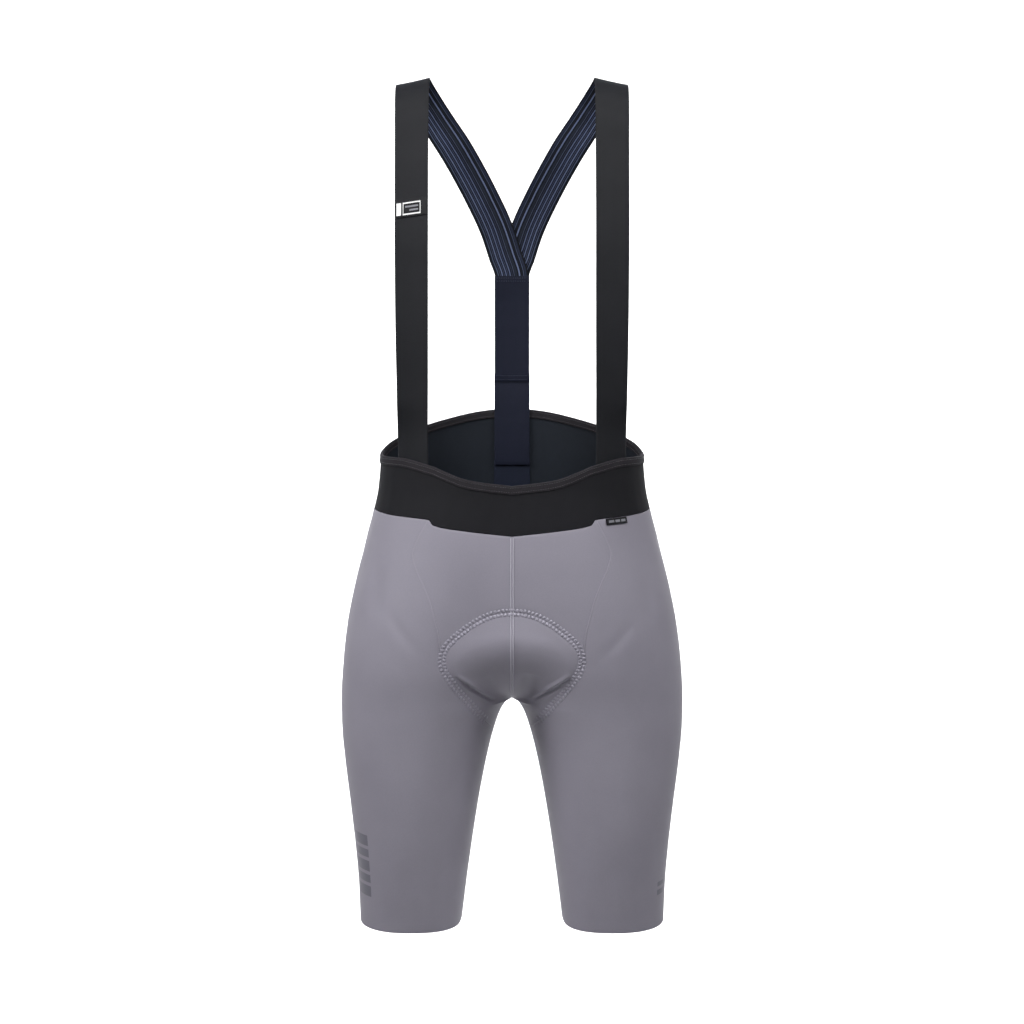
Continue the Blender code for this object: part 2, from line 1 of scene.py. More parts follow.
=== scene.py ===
# The looks of the cycling bib shorts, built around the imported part, in metres.
# The front faces -Y and +X is the wearer's left. "drop" is the depth below the tops of the shoulder straps.
# "turn" runs round the trunk or a leg: 0 at the centre front or inseam, 1 at the side, 2 at the centre back.
# "level" runs down a panel: 0 at the foot of the waistband, 1 at the crotch, 2 at the hem.

import math

import bmesh
import bpy
import numpy as np
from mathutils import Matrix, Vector


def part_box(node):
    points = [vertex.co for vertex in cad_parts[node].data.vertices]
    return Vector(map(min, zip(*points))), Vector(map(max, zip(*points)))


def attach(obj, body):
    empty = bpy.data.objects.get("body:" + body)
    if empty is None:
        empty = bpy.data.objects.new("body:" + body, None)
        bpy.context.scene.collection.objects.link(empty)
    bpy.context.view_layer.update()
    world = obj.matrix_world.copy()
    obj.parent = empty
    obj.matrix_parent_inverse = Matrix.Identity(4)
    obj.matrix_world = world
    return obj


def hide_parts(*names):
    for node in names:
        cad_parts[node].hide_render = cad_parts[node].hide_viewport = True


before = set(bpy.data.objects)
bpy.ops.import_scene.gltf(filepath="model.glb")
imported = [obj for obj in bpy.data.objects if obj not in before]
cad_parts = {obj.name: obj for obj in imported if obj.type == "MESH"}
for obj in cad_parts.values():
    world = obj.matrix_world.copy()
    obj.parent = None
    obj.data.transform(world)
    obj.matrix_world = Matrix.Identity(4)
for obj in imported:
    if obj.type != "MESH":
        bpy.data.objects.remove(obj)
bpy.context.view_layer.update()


# Small tools

# A curve through the values that doesn't overshoot.
def smoothLine(knots, values):
    knots = np.array(knots, float)
    values = np.array(values, float)
    steps = np.diff(knots)
    slopes = np.diff(values) / steps
    tangents = np.concatenate([slopes[:1], np.zeros(len(slopes) - 1), slopes[-1:]])
    rising = slopes[:-1] * slopes[1:] > 0
    total = np.where(rising, slopes[:-1] + slopes[1:], 1)
    tangents[1:-1] = np.where(rising, 2 * slopes[:-1] * slopes[1:] / total, 0)

    def at(place):
        place = np.clip(place, knots[0], knots[-1])
        i = np.clip(np.searchsorted(knots, place, "right") - 1, 0, len(steps) - 1)
        u = (place - knots[i]) / steps[i]
        rise = values[i + 1] - values[i]
        bend = steps[i] * (tangents[i] * u * (1 - u) ** 2 - tangents[i + 1] * u * u * (1 - u))
        return values[i] + rise * u * u * (3 - 2 * u) + bend

    return at


def linesOf(columns, rows):
    table = np.array(rows)
    return {name: smoothLine(table[:, 0], table[:, i]) for i, name in enumerate(columns) if i > 0}


def ease(value):
    value = np.clip(value, 0, 1)
    return value * value * (3 - 2 * value)


# Slow unevenness from a few sines, the same each run. It stays between -1 and 1.
def ripple(seed, place, count=5, longest=0.09):
    rng = np.random.default_rng(seed)
    total = 0
    for i in range(count):
        wave = longest / (1 + i * 0.7)
        total = total + np.sin(2 * math.pi * place / wave + rng.uniform(0, 6.3)) / (1 + i)
    return total / 2.3


# The same line with points a step apart.
def resample(points, step):
    points = np.array(points, float)
    lengths = np.linalg.norm(np.diff(points, axis=0), axis=1)
    along = np.concatenate([[0], np.cumsum(lengths)])
    count = max(2, int(round(along[-1] / step)) + 1)
    places = np.linspace(0, along[-1], count)
    return np.stack([np.interp(places, along, points[:, k]) for k in range(points.shape[1])], axis=1)


# A smooth line through a few points: a Catmull-Rom spline.
def curveThrough(points, each=12):
    p = np.array(points, float)
    p = np.vstack([2 * p[0] - p[1], p, 2 * p[-1] - p[-2]])
    out = []
    for i in range(1, len(p) - 2):
        for t in np.linspace(0, 1, each, endpoint=False):
            a, b, c, d = p[i - 1], p[i], p[i + 1], p[i + 2]
            square, cube = t * t, t * t * t
            out.append(0.5 * (2 * b + (c - a) * t + (2 * a - 5 * b + 4 * c - d) * square
                              + (3 * b - a - 3 * c + d) * cube))
    out.append(p[-2])
    return np.array(out)


# The form, as the pattern cutter knows it
seamGap = 0.0003
seamGapTurn = 0.0008
leastSeamTurn = 0.012
rowCrowding = 0.8
form = {
    "crotchDrop": 0.6708,
    "hemDrop": -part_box("leg_panel_left")[0][2],
    "crotchForward": -0.008,
    "frontRise": 0.078,
    "backRise": 0.105,
    "legParting": 0.0564,
    "partingPower": 0.53,
    "partingSoft": 0.035,
    "partingSoftTo": 0.35,
    "partingNear": 0.35,
    "sideRoundness": 2.15,
    "innerRoundness": 2,
    "innerFullness": 0.6,
    "legsStartDrop": 0.52,
    "moundHeight": 0.0058,
    "moundWidth": 0.082,
    "moundDrop": 0.616,
}

sections = linesOf(
    ("drop", "side", "front", "back", "frontCrest", "backCrest"),
    (
        (0.3500, 0.1430, 0.1030, 0.0975, 0.018, 0.018),
        (0.4000, 0.1440, 0.1040, 0.0990, 0.018, 0.018),
        (0.4400, 0.1472, 0.1060, 0.1020, 0.020, 0.024),
        (0.4650, 0.1525, 0.1080, 0.1060, 0.024, 0.032),
        (0.4900, 0.1587, 0.1100, 0.1120, 0.030, 0.042),
        (0.5200, 0.1665, 0.1115, 0.1190, 0.040, 0.055),
        (0.5500, 0.1738, 0.1120, 0.1245, 0.054, 0.068),
        (0.5900, 0.1815, 0.1105, 0.1275, 0.072, 0.080),
        (0.6300, 0.1862, 0.1065, 0.1220, 0.085, 0.088),
        (0.6708, 0.1887, 0.0990, 0.1060, 0.094, 0.095),
        (0.7000, 0.1883, 0.0950, 0.0965, 0.100, 0.100),
        (0.7400, 0.1850, 0.0905, 0.0865, 0.105, 0.105),
        (0.7900, 0.1790, 0.0845, 0.0780, 0.108, 0.108),
        (0.8400, 0.1735, 0.0765, 0.0720, 0.110, 0.110),
        (0.8800, 0.1703, 0.0690, 0.0670, 0.111, 0.111),
        (0.9222, 0.1688, 0.0605, 0.0620, 0.1125, 0.1125),
    ),
)
bandEdge = linesOf(
    ("turn", "top", "foot"),
    (
        (0.000, 0.4323, 0.4855),
        (0.200, 0.4265, 0.4803),
        (0.363, 0.4147, 0.4746),
        (0.392, 0.4125, 0.4688),
        (0.630, 0.4043, 0.4660),
        (0.850, 0.4038, 0.4632),
        (1.000, 0.4015, 0.4612),
        (1.250, 0.3895, 0.4595),
        (1.620, 0.3685, 0.4570),
        (1.870, 0.3573, 0.4560),
        (2.000, 0.3550, 0.4558),
    ),
)
frontSeam = linesOf(
    ("drop", "x"),
    (
        (0.4688, 0.0885),
        (0.4899, 0.0997),
        (0.5057, 0.1050),
        (0.5194, 0.1015),
        (0.5353, 0.0944),
        (0.5532, 0.0872),
        (0.5743, 0.0815),
        (0.5930, 0.0770),
        (0.6145, 0.0745),
        (0.6350, 0.0680),
        (0.6520, 0.0567),
        (0.6650, 0.0462),
        (0.6775, 0.0368),
        (0.6900, 0.0285),
        (0.7040, 0.0198),
    ),
)["x"]


def legInner(drop):
    below = np.clip((drop - form["crotchDrop"]) / (form["hemDrop"] - form["crotchDrop"]), 0, None)
    return form["legParting"] * below ** form["partingPower"]


# How far the trunk or leg reaches forward or back at a place across it.
def reach(x, drop, facing):
    forward = facing == "front"
    root = form["crotchForward"] if forward else -form["crotchForward"]
    rise = form["frontRise"] if forward else form["backRise"]
    side = sections["side"](drop)
    crest = sections[facing + "Crest"](drop)
    most = sections[facing](drop)
    inner = legInner(drop)
    share = np.clip((x - inner) / (crest - inner), 0, 1)
    below = np.clip((drop - form["crotchDrop"]) / (form["hemDrop"] - form["crotchDrop"]), 0, 1)
    soft = ((below**4 + form["partingSoft"] ** 4) ** 0.25 - form["partingSoft"]) ** form["partingPower"]
    soft = soft * form["legParting"]
    shareSoft = np.clip((x - soft) / (crest - soft), 0, 1)
    blend = ease(share / form["partingNear"]) * (1 - ease(below / form["partingSoftTo"]))
    share = share + (shareSoft - share) * blend
    height = np.clip((form["crotchDrop"] - drop) / rise, 0, 1)
    away = np.sqrt(share**2 * (1 - height**2) + height**2)
    fuller = form["innerRoundness"] + form["innerFullness"] * below
    sunk = 1 - np.clip(1 - (1 - away) ** fuller, 0, 1) ** (1 / fuller)
    outside = np.clip((x - crest) / (side - crest), 0, 1)
    power = form["sideRoundness"]
    rounded = (1 - outside**power) ** (1 / power)
    depth = np.where(x < crest, most - (most - root) * sunk, root + (most - root) * rounded)
    if forward:
        down = (drop - form["moundDrop"]) / (form["crotchDrop"] - form["moundDrop"])
        across = (x / form["moundWidth"]) ** 2 + down**2
        depth = depth + form["moundHeight"] * np.clip(1 - across, 0, 1) ** 2
    return depth


def halfWidth(drop, turn):
    part = np.where(turn <= 1, turn, 2 - turn)
    start = form["legsStartDrop"]
    legLike = ease((drop - start) / (form["crotchDrop"] - start))
    trunkShare = np.sin(math.pi / 2 * part)
    legShare = (1 - np.cos(math.pi * part)) / 2
    inner = legInner(drop)
    return inner + (sections["side"](drop) - inner) * (trunkShare + (legShare - trunkShare) * legLike)


# A point of the outer face of the wearer's left half, turn 0 to 2.
def bodyPoint(drop, turn):
    drop, turn = np.broadcast_arrays(np.array(drop, float), np.array(turn, float))
    x = halfWidth(drop, turn)
    y = np.where(turn <= 1, -reach(x, drop, "front"), reach(x, drop, "back"))
    return np.stack([x, y, -drop], axis=-1)


# Steps for the slope of the form, and how near counts as on the centre line, the inseam or the crotch
slope = {
    "drop": 0.0004,
    "turn": 0.004,
    "nearCentre": 0.002,
    "nearInseam": 0.0001,
    "nearCrotch": (0.02, 0.0005),
}


# The outward direction at a point of the left half
def bodyNormal(drop, turn):
    drop, turn = np.broadcast_arrays(np.array(drop, float), np.array(turn, float))
    crotch = form["crotchDrop"]
    above = drop <= crotch
    low = np.where(above, np.minimum(drop + slope["drop"], crotch), drop + slope["drop"])
    high = np.where(above, drop - slope["drop"], np.maximum(drop - slope["drop"], crotch))
    along = bodyPoint(low, turn) - bodyPoint(high, turn)
    last = np.clip(turn + slope["turn"], 0, 2)
    first = np.clip(turn - slope["turn"], 0, 2)
    across = bodyPoint(drop, last) - bodyPoint(drop, first)
    normal = np.cross(along, across)
    part = np.minimum(turn, 2 - turn)
    normal[(part < slope["nearCentre"]) & (drop < crotch), 0] = 0
    normal[(part < slope["nearInseam"]) & (drop > crotch), 1] = 0
    nearTurn, nearDrop = slope["nearCrotch"]
    normal[(part < nearTurn) & (np.abs(drop - crotch) < nearDrop)] = (0, 0, -1)
    return normal / np.linalg.norm(normal, axis=-1, keepdims=True)


# The drop of a row of the panels. Rows crowd at the crotch on the centre line and are even at the side.
def levelDrop(level, turn):
    centre = np.cos(math.pi / 2 * turn) ** 2
    crotch = form["crotchDrop"]
    if level <= 1:
        start = bandEdge["foot"](turn) + seamGap / 2
        return start + (crotch - start) * (level + centre * ((1 - (1 - level) ** 2) - level))
    down = level - 1
    crowd = rowCrowding * centre * (down * down - down)
    return crotch + (form["hemDrop"] - crotch) * (down + crowd)


# The turn of a place across the front or back.
def turnOfHalf(x, drop, back=False):
    x, drop = np.broadcast_arrays(np.array(x, float), np.array(drop, float))
    low, high = np.zeros(x.shape), np.ones(x.shape)
    for _ in range(26):
        middle = (low + high) / 2
        beyond = halfWidth(drop, middle) > x
        high = np.where(beyond, middle, high)
        low = np.where(beyond, low, middle)
    middle = (low + high) / 2
    return 2 - middle if back else middle


# The turn of the side-front seam on a row.
def seamTurn(level):
    low, high = 0.0, 1.0
    for _ in range(40):
        middle = (low + high) / 2
        drop = levelDrop(level, middle)
        if halfWidth(drop, middle) > frontSeam(drop):
            high = middle
        else:
            low = middle
    return max((low + high) / 2, leastSeamTurn)


# Relief: the pad's pillow and the creases, as heights along the cloth's outward direction

pad = {
    "pillow": 0.0014,
    "pillowReach": (0.030, 0.007),
    "pillowDrops": (0.585, 0.640),
    "pillowStart": 0.0030,
    "groove": 0.0006,
    "grooveWidth": 0.0052,
    "thickness": 0.0060,
    "inset": 0.0016,
    "clear": 0.0022,
    "nearX": 0.092,
    "nearDrops": (0.552, 0.712),
    "fadeBelowCrotch": 0.022,
    "fadeOver": 0.030,
    "frontOutline": (
        (0.0000, 0.5651),
        (0.0135, 0.5665),
        (0.0269, 0.5704),
        (0.0400, 0.5772),
        (0.0512, 0.5850),
        (0.0622, 0.5942),
        (0.0703, 0.6035),
        (0.0740, 0.6145),
        (0.0732, 0.6245),
        (0.0683, 0.6348),
        (0.0567, 0.6520),
        (0.0462, 0.6650),
        (0.0368, 0.6775),
        (0.0290, 0.6890),
    ),
    "backOutline": (
        (0.0000, 0.5860),
        (0.0110, 0.5770),
        (0.0260, 0.5700),
        (0.0430, 0.5730),
        (0.0590, 0.5860),
        (0.0690, 0.6050),
        (0.0690, 0.6260),
        (0.0600, 0.6470),
        (0.0480, 0.6660),
        (0.0380, 0.6790),
        (0.0300, 0.6890),
    ),
}

creases = {
    # side: 1 left, -1 right, 0 both. tilt: degrees that the line leans outward as it goes down.
    "columns": ("side", "turn", "drop", "tilt", "length", "width", "depth"),
    "perTurn": 0.240,
    "ridge": 0.45,
    "bow": 0.10,
    "rows": (
        (-1, 0.640, 0.548, 12, 0.060, 0.0240, 0.0016),
        (1, 0.655, 0.556, 8, 0.068, 0.0250, 0.0015),
        (-1, 0.520, 0.588, -28, 0.070, 0.0150, 0.0007),
        (1, 0.515, 0.596, -32, 0.060, 0.0140, 0.0008),
        (0, 0.930, 0.500, 20, 0.050, 0.0180, 0.0008),
        (-1, 1.420, 0.520, -14, 0.080, 0.0240, 0.0012),
        (1, 1.400, 0.512, -10, 0.074, 0.0250, 0.0011),
        (-1, 1.640, 0.684, -74, 0.100, 0.0150, 0.0026),
        (1, 1.650, 0.690, -76, 0.094, 0.0160, 0.0024),
        (-1, 1.560, 0.706, -66, 0.070, 0.0120, 0.0013),
        (1, 1.580, 0.713, -70, 0.064, 0.0120, 0.0012),
        (-1, 1.740, 0.660, -40, 0.050, 0.0110, 0.0012),
        (1, 1.745, 0.652, -44, 0.046, 0.0110, 0.0011),
        (-1, 1.500, 0.860, -80, 0.056, 0.0160, 0.0009),
        (1, 1.520, 0.872, -84, 0.050, 0.0150, 0.0008),
        (-1, 0.450, 0.850, 30, 0.070, 0.0300, 0.0007),
        (1, 0.550, 0.842, -24, 0.080, 0.0300, 0.0007),
    ),
}

foldLines = {
    # from x and drop to endX and endDrop: a trough with a ridge on its outer, upper side
    "columns": ("side", "facing", "x", "drop", "endX", "endDrop", "width", "depth", "ridge"),
    "nearX": 0.095,
    "nearDrop": 0.035,
    "rows": (
        (-1, "front", 0.0600, 0.6355, 0.0200, 0.6670, 0.0020, 0.0038, 0.0018),
        (1, "front", 0.0640, 0.6360, 0.0215, 0.6650, 0.0023, 0.0034, 0.0016),
        (-1, "front", 0.0240, 0.6330, 0.0140, 0.6660, 0.0085, 0.0020, 0.0005),
        (1, "front", 0.0220, 0.6320, 0.0150, 0.6670, 0.0085, 0.0032, 0.0006),
        (-1, "back", 0.0560, 0.6560, 0.0240, 0.6760, 0.0040, 0.0020, 0.0008),
        (1, "back", 0.0600, 0.6500, 0.0220, 0.6750, 0.0042, 0.0018, 0.0008),
    ),
}


unevenness = {
    "height": 0.00028,
    "top": 0.47,
    "span": 0.45,
}

padLines = {facing: curveThrough(pad[facing + "Outline"], 14) for facing in ("front", "back")}


# Distance in the plane of the pattern from each place to a line, in metres.
def distanceTo(line, x, drop):
    flat = np.stack([np.ravel(x), np.ravel(drop)], axis=1)
    best = np.full(len(flat), 1e9)
    for a, b in zip(line[:-1], line[1:]):
        along = b - a
        share = np.clip(((flat - a) @ along) / max(along @ along, 1e-12), 0, 1)
        best = np.minimum(best, np.linalg.norm(flat - a - share[:, None] * along, axis=1))
    return best.reshape(np.shape(x))


# The pillow of the pad under the cloth, and the groove along its stitched outline
def padRelief(x, drop, facing):
    line = padLines[facing]
    near = (x < pad["nearX"]) & (drop > pad["nearDrops"][0]) & (drop < pad["nearDrops"][1])
    height = np.zeros(np.shape(x))
    if not near.any():
        return height
    distance = distanceTo(line, x[near], drop[near])
    order = np.argsort(line[:, 1])
    wide = np.interp(drop[near], line[order, 1], line[order, 0])
    inside = (x[near] < wide) & (drop[near] > line[0, 1])
    if facing == "back":
        inside = (x[near] < wide) & (drop[near] > np.interp(x[near], line[:6, 0], line[:6, 1]))
    fade = ease((form["crotchDrop"] + pad["fadeBelowCrotch"] - drop[near]) / pad["fadeOver"])
    wideAt = np.interp(drop[near], pad["pillowDrops"], pad["pillowReach"])
    pillow = np.where(inside, pad["pillow"] * ease((distance - pad["pillowStart"]) / wideAt), 0)
    groove = pad["groove"] * np.exp(-((distance / pad["grooveWidth"]) ** 2))
    height[near] = pillow * fade - groove
    return height


# How deep one crease is at each place: a slightly bowed trough with a lower ridge beside it
def creaseDepth(c, drop, turn):
    lean = math.radians(c["tilt"])
    across = (turn - c["turn"]) * creases["perTurn"] * (1 if c["turn"] <= 1 else -1)
    down = drop - c["drop"]
    along = down * math.cos(lean) + across * math.sin(lean)
    off = across * math.cos(lean) - down * math.sin(lean)
    off = off + creases["bow"] * along * along / c["length"] * (1 + c["side"] * 0.3)
    line = np.clip(1 - (along / c["length"] * 2) ** 2, 0, 1) ** 1.5
    trough = np.exp(-((off / c["width"] * 2) ** 2))
    ridge = np.exp(-(((off - c["width"]) / c["width"] * 1.6) ** 2))
    return c["depth"] * line * (trough - creases["ridge"] * ridge)


# How deep one straight fold is at each place
def foldDepth(c, x, drop):
    start = np.array((c["x"], c["drop"]))
    run = np.array((c["endX"], c["endDrop"])) - start
    away = np.stack([x, drop], axis=-1) - start
    share = np.clip(away @ run / (run @ run), 0, 1)
    off = (away[..., 0] * run[1] - away[..., 1] * run[0]) / np.linalg.norm(run)
    fade = np.sin(math.pi * share ** 0.75) ** 0.8
    trough = c["depth"] * np.exp(-((off / c["width"]) ** 2))
    ridge = c["ridge"] * np.exp(-(((off + 1.7 * c["width"]) / (1.2 * c["width"])) ** 2))
    return fade * (trough - ridge)


# Height above the plain form, for one half. side is 1 for the wearer's left.
def relief(x, drop, turn, side, folds=True):
    height = np.where(turn <= 1, padRelief(x, drop, "front"), padRelief(x, drop, "back"))
    if not folds:
        return height - pad["clear"]
    for row in creases["rows"]:
        c = dict(zip(creases["columns"], row))
        if c["side"] in (0, side):
            height = height - creaseDepth(c, drop, turn)
    for row in foldLines["rows"]:
        c = dict(zip(foldLines["columns"], row))
        onFace = (turn <= 1) if c["facing"] == "front" else (turn > 1)
        middle = (c["drop"] + c["endDrop"]) / 2
        near = onFace & (x < foldLines["nearX"]) & (np.abs(drop - middle) < foldLines["nearDrop"])
        if c["side"] == side and near.any():
            height[near] = height[near] - foldDepth(c, x[near], drop[near])
    centred = ease(turn / 0.2) * ease((2 - turn) / 0.2)
    slow = ripple(7 + side, turn * creases["perTurn"] + drop * 0.4, longest=0.16)
    down = np.sin(np.clip((drop - unevenness["top"]) / unevenness["span"], 0, 1) * math.pi)
    return height + unevenness["height"] * centred * slow * down


# Point and outward direction of the dressed cloth, creases and all.
def clothPoint(drop, turn, side=1, lift=0.0, folds=True):
    drop, turn = np.broadcast_arrays(np.array(drop, float), np.array(turn, float))
    point = bodyPoint(drop, turn)
    normal = bodyNormal(drop, turn)
    height = relief(point[..., 0], drop, turn, side, folds) + lift
    point = point + normal * np.asarray(height)[..., None]
    flip = np.array([side, 1.0, 1.0])
    return point * flip, normal * flip


# The same place on the wearer's left half
def folded(turn):
    return np.where(turn < 0, -turn, np.where(turn > 2, 4 - turn, turn))


# Point and outward direction round the band: below 0 and past 2 is the wearer's right half.
def ring(drop, turn):
    drop, turn = np.broadcast_arrays(np.array(drop, float), np.array(turn, float))
    point = bodyPoint(drop, folded(turn))
    normal = bodyNormal(drop, folded(turn))
    flip = np.where((turn < 0) | (turn > 2), -1.0, 1.0)
    point[..., 0] *= flip
    normal[..., 0] *= flip
    return point, normal


# Meshes

# An sRGB hex colour as the renderer's linear one
def linear(code):
    parts = [int(code[i:i + 2], 16) / 255 for i in (1, 3, 5)]
    return tuple(c / 12.92 if c <= 0.04045 else ((c + 0.055) / 1.055) ** 2.4 for c in parts) + (1,)


def addMesh(name, verts, faces, uvs=None, slots=None, materials=(), smooth=40):
    data = bpy.data.meshes.new(name)
    data.from_pydata([tuple(v) for v in verts], [], [tuple(f) for f in faces])
    if uvs is not None:
        layer = data.uv_layers.new(name="cloth")
        corner = np.zeros(len(data.loops), np.int64)
        data.loops.foreach_get("vertex_index", corner)
        layer.data.foreach_set("uv", np.asarray(uvs, np.float32)[corner].ravel())
    for material in materials:
        data.materials.append(material)
    if slots is not None:
        data.polygons.foreach_set("material_index", np.asarray(slots, np.int32))
    data.validate()
    data.update()
    data.shade_smooth()
    data.set_sharp_from_angle(angle=math.radians(smooth))
    made = bpy.data.objects.new(name, data)
    bpy.context.scene.collection.objects.link(made)
    return made


# A thin closed wall of cloth. Its edges are pinched a little, so they look rolled rather than cut square.
def shell(name, points, normals, thickness, uvs, materials, pinch=0.32):
    rows, columns = points.shape[:2]
    squeeze = np.zeros((rows, columns))
    for place in (np.s_[0, :], np.s_[-1, :], np.s_[:, 0], np.s_[:, -1]):
        squeeze[place] = pinch
    outer = points - normals * (thickness * squeeze)[..., None]
    inner = points - normals * (thickness * (1 - squeeze))[..., None]
    count = rows * columns
    index = np.arange(count).reshape(rows, columns)
    a, b = index[:-1, :-1].ravel(), index[:-1, 1:].ravel()
    c, d = index[1:, 1:].ravel(), index[1:, :-1].ravel()
    first = np.cross(outer[1, 0] - outer[0, 0], outer[0, 1] - outer[0, 0])
    outward = float(first @ normals[0, 0]) > 0
    out = np.stack([a, d, c, b], 1) if outward else np.stack([a, b, c, d], 1)
    back = out[:, ::-1] + count
    rim = list(index[0, :]) + list(index[1:, -1]) + list(index[-1, -2::-1]) + list(index[-2:0:-1, 0])
    rim = np.array(rim)
    after = np.roll(rim, -1)
    edge = np.stack([rim, after, after + count, rim + count], 1)
    if not outward:
        edge = edge[:, ::-1]
    faces = np.concatenate([out, back, edge])
    slots = np.concatenate([np.zeros(len(out)), np.full(len(back), len(materials) - 1), np.zeros(len(edge))])
    verts = np.concatenate([outer.reshape(-1, 3), inner.reshape(-1, 3)])
    flat = np.asarray(uvs).reshape(-1, 2)
    return addMesh(name, verts, faces, np.concatenate([flat, flat]), slots, materials, smooth=70)


# Round threads or beads along lines of points, joined in one mesh, each with closed ends.
def threads(name, lines, radius, material, sides=6, flatten=1.0, ups=None):
    verts, faces = [], []
    total = 0
    angles = np.linspace(0, 2 * math.pi, sides, endpoint=False)
    for k, line in enumerate(lines):
        line = np.array(line, float)
        tangent = np.gradient(line, axis=0)
        tangent /= np.maximum(np.linalg.norm(tangent, axis=1, keepdims=True), 1e-12)
        up = np.array(ups[k], float) if ups is not None else np.tile((0.0, -1.0, 0.2), (len(line), 1))
        side = np.cross(tangent, up)
        side /= np.maximum(np.linalg.norm(side, axis=1, keepdims=True), 1e-9)
        up = np.cross(side, tangent)
        ends = np.ones(len(line))
        ends[0] = ends[-1] = 0.55
        wide = np.cos(angles)[None, :, None] * side[:, None]
        tall = flatten * np.sin(angles)[None, :, None] * up[:, None]
        loops = line[:, None] + radius * ends[:, None, None] * (wide + tall)
        verts.append(loops.reshape(-1, 3))
        n = len(line)
        index = total + np.arange(n * sides).reshape(n, sides)
        nextOne = np.roll(index, -1, axis=1)
        body = np.stack([index[:-1], nextOne[:-1], nextOne[1:], index[1:]], -1).reshape(-1, 4)
        faces += [tuple(f) for f in body]
        faces.append(tuple(index[0][::-1]))
        faces.append(tuple(index[-1]))
        total += n * sides
    return addMesh(name, np.concatenate(verts), faces, None, None, [material], smooth=60)


# Cloth coordinates of a patch in metres: round the body, and down it
def clothUvs(turns, drops):
    around = turns[None, :] * creases["perTurn"]
    return np.stack(np.broadcast_arrays(around, drops[:, None]), axis=-1)


# Joins a piece to the part's one body and hides the solids that it stands for
def dress(piece, slot, *nodes):
    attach(piece, "root")
    if nodes:
        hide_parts(*nodes)
    return piece


# Materials

def addNode(tree, kind, values=None, links=None, **settings):
    node = tree.nodes.new("ShaderNode" + kind)
    for name, value in settings.items():
        setattr(node, name, value)
    for socket, value in (values or {}).items():
        node.inputs[socket].default_value = value
    for socket, source in (links or {}).items():
        tree.links.new(source, node.inputs[socket])
    return node


def newMaterial(name, shaderValues):
    material = bpy.data.materials.new(name)
    material.use_nodes = True
    tree = material.node_tree
    shader = tree.nodes["Principled BSDF"]
    for socket, value in shaderValues.items():
        shader.inputs[socket].default_value = value
    return material, tree, shader


def ramp(tree, source, stops, interpolation="LINEAR"):
    node = addNode(tree, "ValToRGB", links={"Fac": source})
    node.color_ramp.interpolation = interpolation
    while len(node.color_ramp.elements) < len(stops):
        node.color_ramp.elements.new(0.5)
    for element, (place, colour) in zip(node.color_ramp.elements, stops):
        element.position = place
        element.color = colour
    return node.outputs["Color"]


# Warp-knit polyamide and elastane: a dense, smooth face with a low satin sheen. The eye sees no loops, only
# a faint lengthwise grain and slow, soft changes of tone where the cloth is stretched.
def warpKnit(name, light, dark, ribs=0.0016, roughness=0.56, sheen=0.06, bumpHeight=0.00005):
    material, tree, shader = newMaterial(name, {
        "Roughness": roughness,
        "Sheen Weight": sheen,
        "Sheen Roughness": 0.45,
        "Sheen Tint": linear("#c9c7d2"),
        "Specular IOR Level": 0.26,
    })
    coords = addNode(tree, "TexCoord")
    uv = addNode(tree, "UVMap", uv_map="cloth")
    tone = addNode(tree, "TexNoise", {"Scale": 9.0, "Detail": 3.0, "Roughness": 0.5},
                   {"Vector": coords.outputs["Object"]})
    fleck = addNode(tree, "TexNoise", {"Scale": 900.0, "Detail": 2.0, "Roughness": 0.6},
                    {"Vector": coords.outputs["Object"]})
    blend = addNode(tree, "Mix", {"Factor": 0.35}, {"A": tone.outputs["Fac"], "B": fleck.outputs["Fac"]})
    colour = ramp(tree, blend.outputs["Result"], ((0.30, linear(dark)), (0.70, linear(light))))
    tree.links.new(colour, shader.inputs["Base Color"])
    waves = {"Scale": 1 / ribs / 3.14, "Distortion": 0.6, "Detail": 1.0, "Detail Scale": 2.0}
    grain = addNode(tree, "TexWave", waves, {"Vector": uv.outputs["UV"]}, bands_direction="X")
    rough = addNode(tree, "MapRange", {"To Min": roughness - 0.05, "To Max": roughness + 0.06},
                    {"Value": fleck.outputs["Fac"]})
    tree.links.new(rough.outputs["Result"], shader.inputs["Roughness"])
    both = addNode(tree, "Mix", {"Factor": 0.5}, {"A": grain.outputs["Fac"], "B": fleck.outputs["Fac"]})
    bump = addNode(tree, "Bump", {"Strength": 0.35, "Distance": bumpHeight},
                   {"Height": both.outputs["Result"]})
    tree.links.new(bump.outputs["Normal"], shader.inputs["Normal"])
    return material


